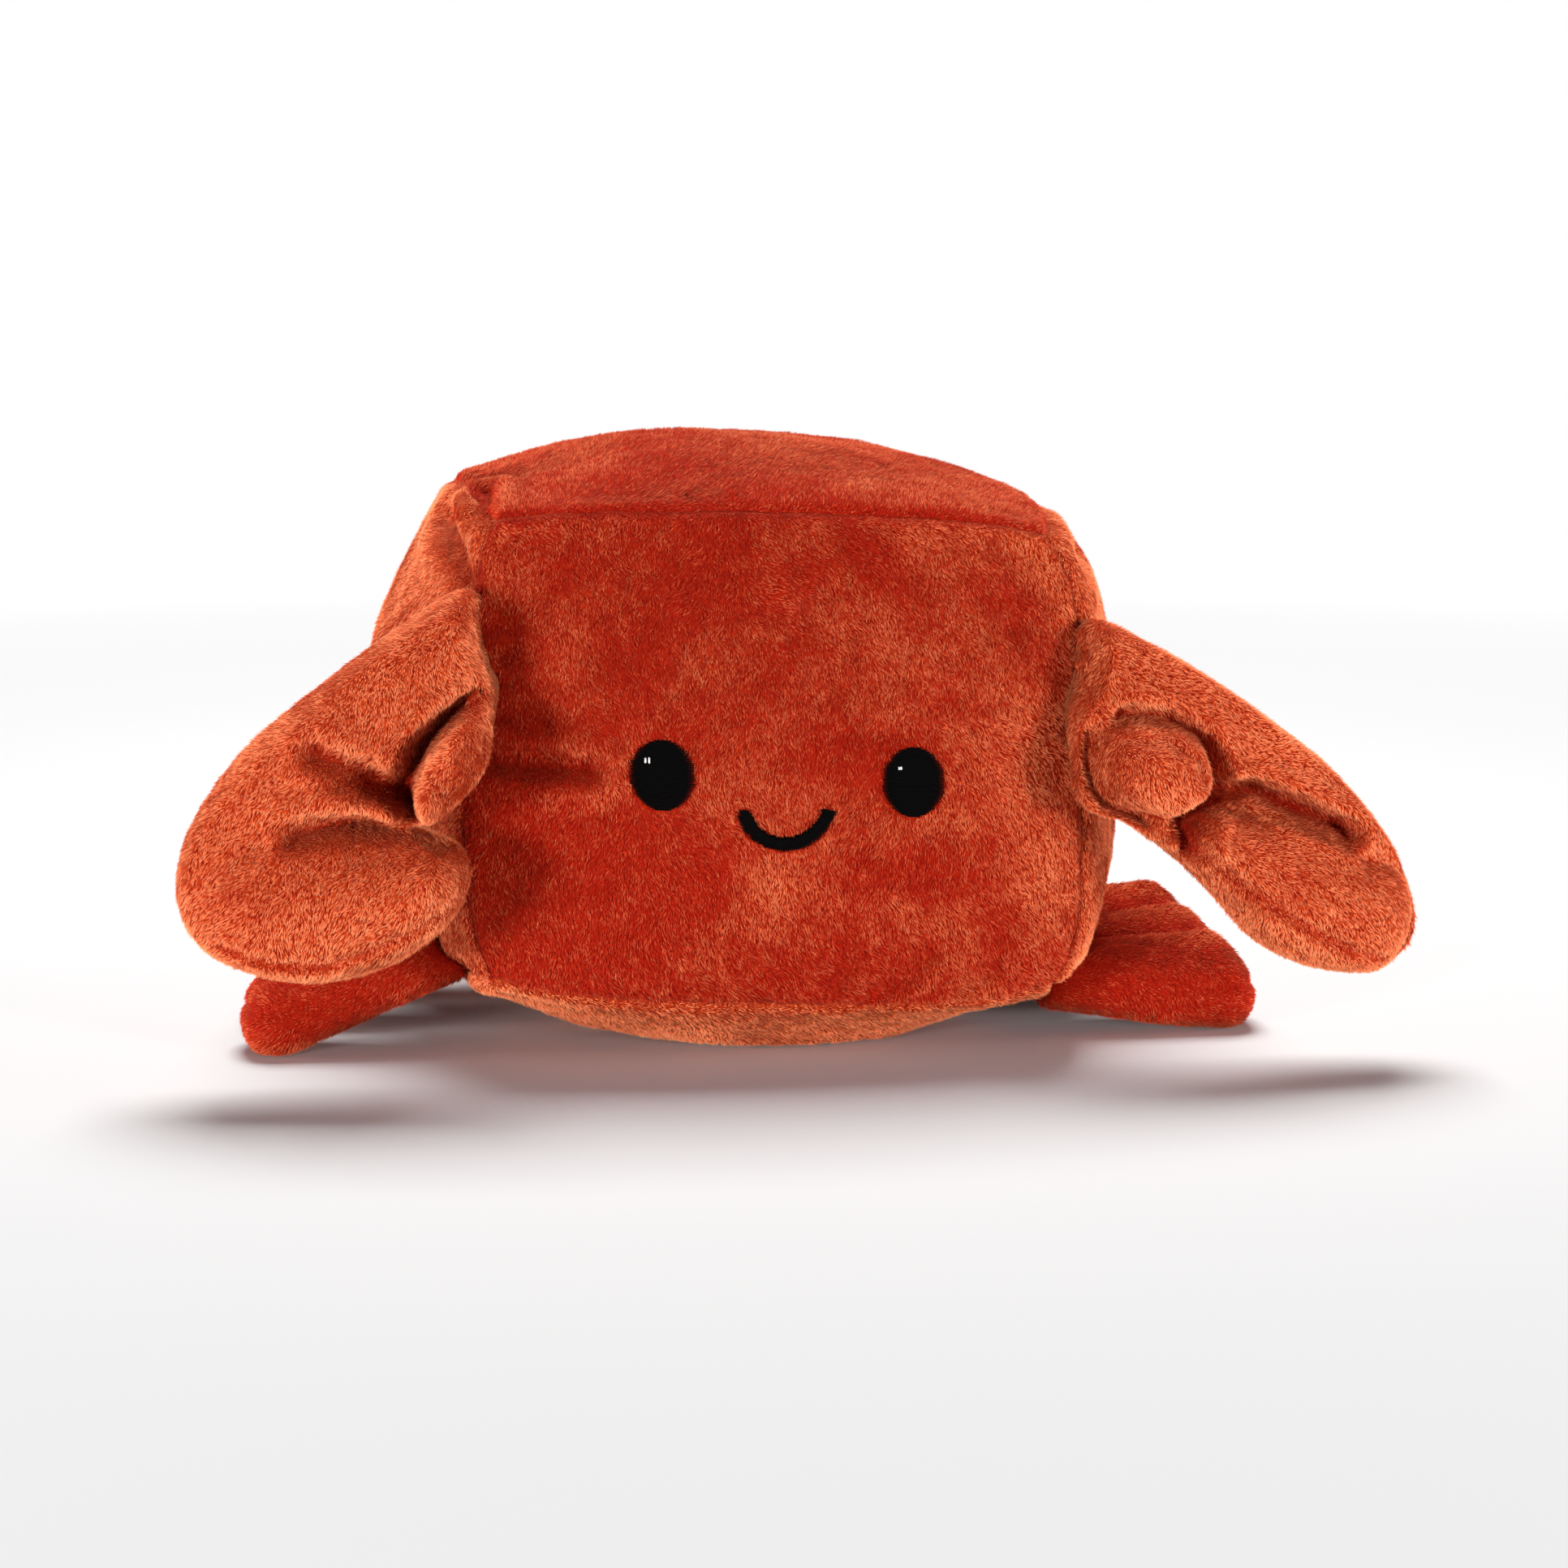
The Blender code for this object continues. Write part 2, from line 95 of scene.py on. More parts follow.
# Finish of the covers
COVER_INSET = 0.0006        # how far the fabric lies inside the tips of its pile
SEAM_DEPTH = 0.0017
SEAM_HALF_WIDTH = 0.0013
SEAM_WORN = 0.8             # how far round the first soft corner its seams fade, on the cube
PUCKER = 0.0006             # ripples that the stitches draw beside a seam
PUCKER_SIZE = 0.0045
PUCKER_REACH = 0.0050
UNEVEN = ((0.024, 0.0011), (0.009, 0.0004))     # size and height of the stuffing's lumps
CREASE_LIP = (0.30, 1.9)    # a crease's lip: its share of the depth, and half widths from the line
# Corners of the cube that are worn round: place, how far they give, and over what reach
SOFT_CORNERS = (
    ((-1, 1, 1), 0.0075, 0.0260), ((1, 1, 1), 0.0020, 0.0150), ((1, -1, 1), 0.0012, 0.0080),
    ((-1, -1, 1), 0.0016, 0.0070), ((-1, 1, -1), 0.0030, 0.0110), ((1, 1, -1), 0.0030, 0.0110),
    ((-1, -1, -1), 0.0020, 0.0080), ((1, -1, -1), 0.0020, 0.0080),
)

# Creases of the front panel: points (x, z), with depth and half width
FACE_CREASES = (
    (((-0.0600, 0.0618), (-0.0480, 0.0608), (-0.0370, 0.0605)), 0.0036, 0.0024),
    (((0.0182, 0.0140), (0.0245, 0.0190), (0.0301, 0.0255)), 0.0018, 0.0022),
    (((0.0094, 0.0150), (0.0125, 0.0230), (0.0141, 0.0316)), 0.0010, 0.0022),
    (((0.0286, 0.0125), (0.0360, 0.0180), (0.0430, 0.0215)), 0.0018, 0.0024),
)

# Folds pinched into the body near its corners: points (x, y, z), with depth and half width
PINCHES = (
    (((-0.0540, -0.0260, 0.1130), (-0.0556, -0.0500, 0.1105)), 0.0026, 0.0022),
    (((-0.0556, -0.0500, 0.1105), (-0.0576, -0.0400, 0.1095)), 0.0014, 0.0018),
    (((-0.0622, -0.0150, 0.1080), (-0.0600, -0.0374, 0.1020), (-0.0590, -0.0470, 0.0975)),
     0.0030, 0.0032),
    (((0.0640, -0.0200, 0.1000), (0.0620, -0.0400, 0.0970)), 0.0020, 0.0030),
    (((-0.0600, -0.0400, 0.0180), (-0.0620, -0.0150, 0.0150)), 0.0020, 0.0030),
    (((0.0590, -0.0400, 0.0150), (0.0620, -0.0150, 0.0120)), 0.0020, 0.0030),
)

# Patches where the front's pile is crushed: (x, z), half length, half width, turn, strength
CRUSHED = (
    ((-0.0150, 0.1000), 0.0110, 0.0050, 60, 0.8),
    ((0.0200, 0.1000), 0.0110, 0.0050, -50, 0.7),
    ((-0.0260, 0.0840), 0.0085, 0.0040, 55, 0.8),
    ((0.0010, 0.0820), 0.0075, 0.0035, 45, 0.6),
    ((0.0480, 0.0900), 0.0120, 0.0055, -70, 0.6),
    ((0.0100, 0.0640), 0.0130, 0.0055, 5, 0.6),
    ((-0.0480, 0.0440), 0.0130, 0.0045, 15, 0.7),
    ((0.0230, 0.0400), 0.0130, 0.0050, -10, 0.7),
    ((-0.0200, 0.0330), 0.0100, 0.0050, 30, 0.4),
    ((0.0450, 0.0250), 0.0060, 0.0100, 10, 0.5),
)
CRUSHED_FROM = 0.0400       # how far forward of the middle the patches begin
CRUSHED_OVER = 0.0100       # the distance over which they come in

# Seeds of the noise and the random draws. Like pieces count on from the seed of their kind
SEEDS = {
    "body patches": 3, "puckers": 5, "body lumps": 11, "eyes": 17, "mouth": 23, "claw lumps": 31,
    "claw patches": 40, "leg lumps": 60, "leg patches": 70, "swirl": 91, "clumps": 92, "lean": 93,
    "strands": 94, "body pile": 100, "claw pile": 120, "leg pile": 130,
}

# Shade of the pile, deep at 0 and light at 1: its own crushed or standing patches, plus painted
# light (sheen, bounce light) and painted shade (creases, folds, seams)
ON_SIDE = 0.9999            # where a side of the cube, at 1, is taken to begin
# The cube's other visible sides: the axis that each faces along, and which way
SIDES = {"left": (0, -1), "right": (0, 1), "top": (2, 1), "base": (2, -1)}
# Per region: the sides, top, base and claws are made lighter than the front as painted sheen and
# bounce light
SHADES_AND_PAINTED_LIGHT = {"front": 0.07, "left": 0.90, "right": 0.65, "top": 0.26, "base": 1.30,
          "claws": 0.92, "legs": 0.00}
SHADE_RANGE = (0.03, 0.97)
SHADE_SLOPE = (4.6, 0.0, 2.8)       # how much lighter the upright sides grow in each metre
LEVEL_SHADE = -0.08                 # what the top and the base have in place of the slope
PATCHES = ((0.0200, 0.9), (0.0042, 0.5))        # size and strength of the pile's patches
PATCHES_OFF_FRONT = 0.6             # share of that strength on the body's other sides
PATCHES_ON_LEGS = 0.6
CRUSHED_SHADE = 0.6                 # how much darker crushed pile is
CREASE_PAINTED_SHADE = 130.0                # painted shade in a claw's crease: how much darker it is, for each metre of depth
# painted shade in the face's creases, somewhat weaker
FACE_CREASE_PAINTED_SHADE = 0.7 * CREASE_PAINTED_SHADE
PINCH_PAINTED_SHADE = 220.0                 # painted shade in a fold of the body: how much darker it is
BODY_SEAM_PAINTED_SHADE = 0.5               # painted shade in a seam's groove: how much darker the pile is along it
# the same painted shade along the claws' and the legs' seams
CLAW_SEAM_PAINTED_SHADE = 0.3
LEG_SEAM_PAINTED_SHADE = 0.2
CLAW_RIM_PAINTED_SHEEN = 0.3                # painted sheen round a claw's rim: how much lighter it is there
CLAW_RIM_LIT = 0.0030               # how wide that is
# Painted light on a leg, a highlight along its top and bounce light at its foot: from which share
# of its half height, and how much for each further one
LEG_TOP_PAINTED_HIGHLIGHT = (0.6, 2.2)
LEG_FOOT_PAINTED_LIGHT = (0.5, 0.7)

# Length of the pile on a seam, as a share of its whole length, and how far away that is reached
SEAM_PILE = {"body": 0.55, "claws": 0.6, "legs": 0.6}
SEAM_PILE_REACH = 0.0020

# Embroidered face
EYE_PLACES = {"left": (-0.0231, 0.0605), "right": (0.0259, 0.0580)}
HIGHLIGHT_SIZES = {"left": 0.0014, "right": 0.0008}
HIGHLIGHT_SHIFT = (-0.0029, 0.0030)
MOUTH_POINTS = ((-0.0075, 0.0534), (0.0010, 0.0466), (0.0092, 0.0530))

THREAD_SIDES = 6
THREAD_CUTS = 7
THREAD_LIFT = 0.0004        # how far the stitching starts above the fabric
THREAD_HEIGHT = 0.0006      # how far its middle stands above that
STITCH_RAGGED = 0.00022     # how unevenly the stitches end
EYE_TILT = -0.05            # how much the eyes' stitches slope
STITCH_RADIUS = 0.62        # radius of a stitch, as a share of the pitch
STITCH_SLIM = 0.45          # how much thinner it is at its ends
STITCH_ARCH = 0.75          # how much lower it is there
EYE_CROWN = 0.7             # how much lower an eye's first and last stitches stand
MOUTH_END = (0.55, 0.15)    # share of the stroke at the smile's left end, and its growth
HIGHLIGHT_PITCH = 0.0006
HIGHLIGHT_STITCH = 0.6      # a highlight's own pitch as a share of that
HIGHLIGHT_HALF = (0.35, 0.5)        # half the length of its stitches, as shares of its size
HIGHLIGHT_HEIGHT = 0.3 * THREAD_HEIGHT

# Pile: how its tufts lie. Angles are in degrees, and lean is from upright
BODY_NAP = (0.20, -0.05, -1.0)      # the way that the pile of the body's sides is stroked
LEVEL_NAP = (0.80, 0.6, 0.0)        # the way on its top and its base
CLAW_NAP = (0.5, -0.9)              # the way on a claw, outward and upward
LEG_NAP = (1.0, 0.0, -0.3)          # the way on a right leg
NAP_SWIRL = 55.0
NAP_SWIRL_SIZE = 0.016
NAP_CLUMP = 38.0
NAP_CLUMP_SIZE = 0.0021
NAP_STRAY = 10.0
NAP_LEAN = 60.0
NAP_LEAN_CLUMP = 14.0
NAP_LEAN_STRAY = 5.0
NAP_LEAN_MOST = 84.0
NAP_ROLL = 25.0
LENGTH_STRAY = (0.7, 1.25)
WIDTH_STRAY = (0.7, 1.3)
ROOT_SINK = 0.00015         # how deep in the fabric a tuft is rooted
FLOOR_GAP = 0.0002          # the least height of a tuft above the floor
SHADE_STRAY = 0.15
STRAND_SHADE = 0.18         # how much the clumped strands of the pile differ in shade
STRAND_SIZE = 0.00095
STRAND_STRETCH = 0.60
TUFT_SHADE_RANGE = (0.04, 0.96)
SMILE_STEP = 0.002          # how finely the smile is followed, where no pile grows under it
TUFT_MAP = 0.003            # half the width that a tuft takes on its map
TUFT_MAP_ENDS = (0.04, 0.04, 0.96)      # how high on its map a tuft's two roots and its tip lie
# Pieces of pile on the body: share of the full density, and the cube's sides
BODY_PILE = {
    "front_pile": (1.15, (2,)), "back_pile": (0.9, (3,)), "left_side_pile": (1.0, (0,)),
    "right_side_pile": (1.0, (1,)), "base_pile": (0.8, (4,)), "top_pile": (1.1, (5,)),
}
CLAW_PILE = 1.0             # share of the full density on the claws
LEG_PILE = 0.9

# Claws: outlines are (outward, up) from the root at the front corner seam
CLAW_ROOT_HEIGHT = {"left": 0.0930, "right": 0.0880}
CLAW_ROOT_OUT = 0.6 * SIDE_SEAM_BOW     # how far the front corner seam bows out there
CLAW_SEATED = {"left": -0.00395, "right": -0.00080}     # along Y, where the body stops it
CLAW_FORWARD = 0.0100
CLAW_FORWARD_DROP = 0.0120
CLAW_BELLY = 0.0170
CLAW_BACK_BELLY = 0.0130
CLAW_YAW = {"left": 10.0, "right": 6.0}
CLAW_LEAN = 3.0
CLAW_CENTRES = {"left": (0.0224, -0.0403), "right": (0.0300, -0.0380)}
CLAW_OUTLINES = {
    "left": (
        (-0.0011, 0.0037), (-0.0032, -0.0060), (-0.0061, -0.0153), (-0.0064, -0.0269),
        (-0.0025, -0.0336), (0.0028, -0.0385), (0.0084, -0.0400), (0.0041, -0.0425),
        (-0.0012, -0.0452), (-0.0027, -0.0511), (-0.0002, -0.0570), (0.0055, -0.0629),
        (0.0148, -0.0681), (0.0273, -0.0707), (0.0398, -0.0687), (0.0495, -0.0635),
        (0.0540, -0.0533), (0.0512, -0.0402), (0.0410, -0.0256), (0.0269, -0.0139),
        (0.0129, -0.0038),
    ),
    "right": (
        (0.0014, 0.0002), (-0.0009, -0.0111), (-0.0053, -0.0204), (-0.0047, -0.0337),
        (0.0045, -0.0382), (0.0157, -0.0469), (0.0241, -0.0553), (0.0324, -0.0637),
        (0.0442, -0.0687), (0.0561, -0.0693), (0.0638, -0.0632), (0.0633, -0.0534),
        (0.0578, -0.0419), (0.0477, -0.0291), (0.0359, -0.0194), (0.0226, -0.0102),
        (0.0110, -0.0035),
    ),
}
# Stuffed lobes of each claw's front: height, then points of the lobe's middle line, with radii
CLAW_LOBES = {
    "left": (
        (0.0160, ((-0.0010, 0.0000), 0.0100), ((0.0176, -0.0165), 0.0150),
         ((0.0345, -0.0310), 0.0180), ((0.0420, -0.0470), 0.0190)),
        (0.0205, ((0.0035, -0.0500), 0.0100), ((0.0179, -0.0545), 0.0165),
         ((0.0340, -0.0550), 0.0190)),
        (0.0165, ((0.0120, -0.0362), 0.0030), ((0.0260, -0.0335), 0.0060),
         ((0.0380, -0.0345), 0.0090)),
        (0.0210, ((-0.0042, -0.0180), 0.0035), ((-0.0008, -0.0272), 0.0078),
         ((0.0024, -0.0325), 0.0072)),
    ),
    "right": (
        (0.0120, ((0.0000, -0.0040), 0.0100), ((0.0147, -0.0125), 0.0125),
         ((0.0332, -0.0255), 0.0125), ((0.0520, -0.0420), 0.0120)),
        (0.0200, ((0.0195, -0.0432), 0.0092), ((0.0331, -0.0500), 0.0140),
         ((0.0490, -0.0570), 0.0140)),
        (0.0215, ((0.0070, -0.0266), 0.0098), ((0.0112, -0.0272), 0.0096)),
    ),
}
LOBE_FULLNESS = 0.90
LOBE_SOFTNESS = 0.0012      # how softly one lobe or rim runs into the next
CLAW_VALLEY = 0.0055        # the least height between a claw's lobes
CLAW_VALLEY_SOFTNESS = 0.0020
CLAW_RIM_HEIGHT = 0.0200    # the height that a claw's rim could rise to
CLAW_RIM_REACH = 0.0120     # the distance over which it would
# Creases of each claw's front: points, with depth and half width
CLAW_CREASES = {
    "left": (
        (((0.0085, -0.0345), (0.0160, -0.0295), (0.0255, -0.0248)), 0.0048, 0.0024),
        (((0.0080, -0.0375), (0.0178, -0.0378), (0.0294, -0.0400)), 0.0040, 0.0022),
        (((-0.0059, -0.0150), (0.0018, -0.0195), (0.0062, -0.0250), (0.0092, -0.0335)),
         0.0085, 0.0020),
    ),
    "right": (
        (((0.0150, -0.0425), (0.0150, -0.0385), (0.0178, -0.0345), (0.0235, -0.0318),
          (0.0292, -0.0320), (0.0371, -0.0352), (0.0480, -0.0402)), 0.0075, 0.0020),
        (((0.0040, -0.0165), (0.0120, -0.0172), (0.0190, -0.0215), (0.0218, -0.0280),
          (0.0200, -0.0330)), 0.0040, 0.0018),
        (((0.0040, -0.0212), (0.0100, -0.0212), (0.0148, -0.0242), (0.0168, -0.0290)),
         0.0020, 0.0012),
        (((-0.0030, -0.0200), (-0.0034, -0.0270), (-0.0002, -0.0335), (0.0075, -0.0372)),
         0.0040, 0.0016),
    ),
}
# Seams of each claw that lie on its front, inside its outline
CLAW_SEAMS = {
    "left": ((-0.0049, -0.0494), (0.0013, -0.0550), (0.0093, -0.0593), (0.0179, -0.0631),
             (0.0241, -0.0650), (0.0340, -0.0645), (0.0432, -0.0614)),
    "right": ((0.0152, -0.0412), (0.0198, -0.0458), (0.0265, -0.0505), (0.0384, -0.0580),
              (0.0465, -0.0629), (0.0540, -0.0651)),
}
SEWN_LENGTH = 0.0240        # how far down a claw's inner edge is sewn to the body
SEWN_FADE = 0.4             # share of that length over which the seam lets go
SEWN_WIDTH = 0.0100         # how far out from its root it is
SEWN_REACH = 0.0080         # how far from its rim the fabric follows
SEWN_LEAST = 0.02           # the least share of the way that is moved at all
CLAW_SEAM = (0.0011, 0.0011)    # depth and half width of a claw's seam
CLAW_RINGS_OUT = 0.9        # less than 1 moves a claw's rings towards its rim
CLAW_EDGE = (2.4, 0.6)      # powers that round a claw's back off: of the share out, and of the rest
CLAW_NARROW = 1.35          # a claw's back is thinner where it is less than this many bellies wide
CLAW_LUMPS = 0.5            # share of the stuffing's lumps
CLAW_FRONT_FROM = -0.02     # the height on the ball from which a vertex counts as the front's
CLAW_SEGMENTS = 176
CLAW_RINGS = 88

# Legs: three on each side, along X, resting on the floor
LEG_PLACES = ("front", "middle", "rear")
LEG_FIRST = -0.0200
LEG_PITCH = 0.0280
LEG_REACH = 0.0450
LEG_WIDTH = 0.0240
LEG_ROOT_HEIGHT = 0.0130
LEG_ROOT_LIFT = {"left": 0.0045, "right": 0.0}
LEG_HEIGHT = 0.0215
LEG_SQUASH = 0.90
LEG_ROUNDING = 0.82         # how far along a leg its end begins to close
LEG_RIDGE = 0.60            # how much narrower a leg is along its top
LEG_DRAWN_IN = {"left": (0.0, 0.0035, 0.0060), "right": (0.0, 0.0, 0.0)}
LEG_SQUARENESS = 0.80
LEG_SPREAD = 0.85           # less than 1 moves a leg's rings towards its tip
LEG_BLUNTNESS = 3.4         # how blunt a leg's end is
LEG_SEAM_FROM = 0.5         # how far along a leg its seam begins to show
LEG_SEAM_OVER = 0.3         # the share of the leg over which it comes in
LEG_SEAM_DEPTH = 0.6 * SEAM_DEPTH
LEG_LUMPS = 0.4             # share of the stuffing's lumps
LEG_SEGMENTS = 80
LEG_RINGS = 72
ROOT_SHARE = 0.06           # share of a leg's rings that close its root
TIP_SLANT = 0.50            # how far a leg's end slants back towards its top

# Materials
ROOT_SHADE_ENDS = (0.0, 0.45)     # how far up a tuft the painted shade of its root gives way to the pile's colour
TIP_SHEEN_BEGINS = (0.35, 0.95)   # how far up it that gives way to the painted sheen of its tip
SHEEN_ROUGHNESS = 0.35
SHEEN_TINT = (1.0, 0.50, 0.22)
FABRIC_GRAIN = (1900.0, 1900.0, 900.0)
FABRIC_MOTTLE = 60.0
MOTTLED_SHARE = 0.2         # share of the fabric's shade that is mottled
NAPPED = (0.35, 0.75)       # the part of the grain's noise that turns root into pile
NAPPED_SHARE = 0.6
THREAD_GRAIN = (900.0, 900.0, 5200.0)

# Stage
CAMERA_AIM = (0.0091, 0.0, 0.0485)
CAMERA_AZIMUTH = -8.0
CAMERA_ELEVATION = 9.0
CAMERA_DISTANCE = 1.0
CAMERA_LENS = 111.8
CAMERA_SENSOR = 36.0
LAMPS = (
    # azimuth, elevation, distance, side and power
    (175.0, 71.0, 0.90, 0.60, 12.0),
    (-42.0, 2.0, 1.10, 0.20, 8.2),
    (38.0, 2.0, 1.10, 0.20, 8.0),
    (-88.0, 1.5, 1.00, 0.20, 4.6),
    (88.0, 1.5, 1.00, 0.20, 4.6),
)
FLOOR_SIZE = 12.0
FLOOR_FADE = (0.16, 0.75)   # how far from the middle the floor starts and ends turning white
FLOOR_LIFT = 0.02           # strength of the glow that lifts the shadows a little
WORLD_LIGHT = 0.03


def length_setting(name, description, default, least, most, precision=4):
    """A length that the panel shows."""
    return FloatProperty(
        name=name, description=description, default=default, min=least, max=most,
        precision=precision, subtype="DISTANCE", unit="LENGTH")


def colour_setting(name, description, default):
    """A colour that the panel shows."""
    return FloatVectorProperty(
        name=name, description=description, default=default, min=0.0, max=1.0, subtype="COLOR")


class CrabSizes(bpy.types.PropertyGroup):
    """Sizes of the pile and of the stitching."""

    pile_length: length_setting(
        "Pile length", "Length of a tuft of the pile", 0.0012, 0.0005, 0.0060)
    tuft_width: length_setting(
        "Tuft width", "Width of a tuft at its root", 0.00027, 0.0001, 0.0010, precision=5)
    density: FloatProperty(
        name="Density", description="Tufts in each square millimetre",
        default=7.1, min=1.0, max=12.0)
    eye_width: length_setting(
        "Eye width", "Width of an embroidered eye", 0.0125, 0.0050, 0.0200)
    eye_height: length_setting(
        "Eye height", "Height of an embroidered eye", 0.0136, 0.0050, 0.0200)
    mouth_stroke: length_setting(
        "Mouth stroke", "Width of the smile's stroke", 0.0028, 0.0010, 0.0060)
    thread_pitch: length_setting(
        "Thread pitch", "Distance between neighbouring stitches", 0.00036, 0.0002, 0.0010,
        precision=5)


class CrabColours(bpy.types.PropertyGroup):
    """Colours of the plush, the threads and the floor."""

    # From root to flat, standing and tip the pile grows lighter: partly its own crushed or standing
    # nap, partly painted light and shade. The tip colour is painted sheen and the root colour
    # painted shade
    tip: colour_setting(
        "Pile tip", "Very tips of the pile where it stands up", (1.000, 0.500, 0.245))
    standing: colour_setting(
        "Standing pile", "Pile that stands up, below its tips", (1.000, 0.140, 0.032))
    flat: colour_setting("Crushed pile", "Pile that is crushed flat", (0.480, 0.007, 0.001))
    root: colour_setting(
        "Pile root", "Roots of the pile and the fabric under it", (0.200, 0.004, 0.001))
    black_thread: colour_setting("Black thread", "Eyes and smile", (0.0012, 0.0010, 0.0010))
    white_thread: colour_setting("White thread", "Highlights of the eyes", (0.60, 0.60, 0.60))
    floor: colour_setting("Floor", "Floor of the studio", (0.75, 0.75, 0.75))


# Noise and shaping, on arrays of points

def soft_noise(points, size, seed):
    """Smooth noise from 0 to 1 whose lumps are about one size across."""
    cells = points / size
    base = np.floor(cells).astype(np.int64)
    part = cells - base
    part = part * part * (3 - 2 * part)
    total = np.zeros(len(points))
    for corner in itertools.product((0, 1), repeat=3):
        x, y, z = (base + corner).T
        key = (x * 73856093) ^ (y * 19349663) ^ (z * 83492791) ^ (seed * 2654435761)
        key = (key ^ (key >> 15)) * 2246822519 & 0xffffffff
        key = (key ^ (key >> 13)) * 3266489917 & 0xffffffff
        value = ((key ^ (key >> 16)) & 0xffffff) / 0xffffff
        total += value * np.prod(np.where(corner, part, 1 - part), axis=1)
    return total


def cloudy_noise(points, size, seed):
    """Noise from 0 to 1 with three sizes of lump, the largest one size across."""
    layers = ((1.0, 0.57), (0.5, 0.28), (0.25, 0.15))
    return sum(weight * soft_noise(points, size * scale, seed + i)
               for i, (scale, weight) in enumerate(layers))


def along_line(places, line):
    """How far each place is from a line through points, and how far along, in segments."""
    nearest = np.full(len(places), np.inf)
    along = np.zeros(len(places))
    for i, (start, end) in enumerate(zip(line, line[1:])):
        a, b = np.array(start), np.array(end)
        share = np.clip((places - a) @ (b - a) / ((b - a) @ (b - a)), 0, 1)
        away = np.linalg.norm(places - a - share[:, None] * (b - a), axis=1)
        along = np.where(away < nearest, i + share, along)
        nearest = np.minimum(away, nearest)
    return nearest, along


def crease_depth(places, creases):
    """How far creases draw the fabric in, with a low lip on either side of each."""
    depth = np.zeros(len(places))
    share, place = CREASE_LIP
    for line, deepest, half_width in creases:
        away = along_line(places, line)[0] / half_width
        depth += deepest * (np.exp(-away ** 2) - share * np.exp(-(away - place) ** 2))
    return depth


def smooth_most(a, b, softness):
    """The greater of two heights, with a soft change between them."""
    mix = np.clip(0.5 + (a - b) / (2 * softness), 0, 1)
    return b + (a - b) * mix + softness * mix * (1 - mix)


def smooth_least(a, b, softness):
    """The lesser of two heights, with a soft change between them."""
    return -smooth_most(-a, -b, softness)


def unit(vectors):
    """Each vector at length 1."""
    return vectors / np.maximum(np.linalg.norm(vectors, axis=1), 1e-12)[:, None]


# Mesh objects

def deselect():
    """Leaves nothing selected."""
    bpy.ops.object.select_all(action="DESELECT")


def select_only(*things):
    """Selects these objects and nothing else, with the first of them active."""
    deselect()
    for thing in things:
        thing.select_set(True)
    bpy.context.view_layer.objects.active = things[0]


def add_ball(segments, rings):
    """A new ball of radius 1."""
    deselect()
    bpy.ops.mesh.primitive_uv_sphere_add(segments=segments, ring_count=rings, radius=1.0)
    return bpy.context.object


def read(items, field, width=3, kind=np.float64):
    """A field of each item of a mesh, such as the place of each vertex, as an array."""
    found = np.empty(len(items) * width, dtype=kind)
    items.foreach_get(field, found)
    return found.reshape(-1, width)


def points_of(thing):
    """The places of an object's vertices."""
    return read(thing.data.vertices, "co")


def normals_of(thing):
    """The directions that an object's vertices face."""
    return read(thing.data.vertices, "normal")


def tree_of(thing):
    """A search tree over an object's faces."""
    return BVHTree.FromPolygons(
        [Vector(p) for p in points_of(thing)], [p.vertices for p in thing.data.polygons])


def move_points(thing, points):
    """Gives an object's vertices new places."""
    thing.data.vertices.foreach_set("co", points.ravel())
    thing.data.update()


def push(thing, heights):
    """Moves each vertex the way it faces."""
    move_points(thing, points_of(thing) + normals_of(thing) * heights[:, None])


def keep_off_floor(thing):
    """Lifts an object's lowest vertices to leave room for their pile, and gives the places."""
    points = points_of(thing)
    points[:, 2] = np.maximum(points[:, 2], COVER_INSET)
    move_points(thing, points)
    return points


def face_outwards(thing):
    """Turns every face of a closed shape outwards."""
    select_only(thing)
    bpy.ops.object.mode_set(mode="EDIT")
    bpy.ops.mesh.select_all(action="SELECT")
    bpy.ops.mesh.normals_make_consistent(inside=False)
    bpy.ops.object.mode_set(mode="OBJECT")


def attribute(thing, name, kind, values):
    """Keeps a value or a vector for each vertex under a name."""
    field = {"FLOAT": "value", "FLOAT_VECTOR": "vector"}[kind]
    kept = thing.data.attributes.new(name, kind, "POINT")
    kept.data.foreach_set(field, np.asarray(values, dtype=np.float32).ravel())


def unevenness(points, seed):
    """The height of the stuffing's lumps at each point."""
    return sum(height * (2 * soft_noise(points, size, seed + i) - 1)
               for i, (size, height) in enumerate(UNEVEN))


def finish_piece(thing, name, material, replaced):
    """Names a piece, gives it its material and ties it to the frame."""
    thing.name = name
    thing.data.name = name
    thing.data.materials.clear()
    thing.data.materials.append(material)
    select_only(thing)
    bpy.ops.object.shade_smooth()
    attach(thing, "root")
    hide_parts(*replaced)


def finish_cover(thing, name, replaced, lightness, length, nap):
    """Finishes a cover, which also keeps the shade, length and lie of the pile to grow on it."""
    attribute(thing, "shade", "FLOAT", np.clip(lightness, *SHADE_RANGE))
    attribute(thing, "pile", "FLOAT", np.clip(length, 0, 1))
    attribute(thing, "nap", "FLOAT_VECTOR", np.broadcast_to(nap, (len(lightness), 3)))
    cover = material_once("napped_cover", cover_material, bpy.context.scene.crab_colours)
    finish_piece(thing, name, cover, replaced)


# Materials

class Value:
    """An output of a shader node. Adding to it or multiplying it adds a Math node."""

    def __init__(self, maker, socket):
        self.maker = maker
        self.socket = socket

    def __add__(self, other):
        return self.maker.math("ADD", self, other)

    def __mul__(self, other):
        return self.maker.math("MULTIPLY", self, other)

    __radd__ = __add__

    def clipped(self, low, high):
        """From 0 to 1 as this value goes from low to high, and no further."""
        return self.maker.node("ShaderNodeMapRange", {"clamp": True}, self, low, high)


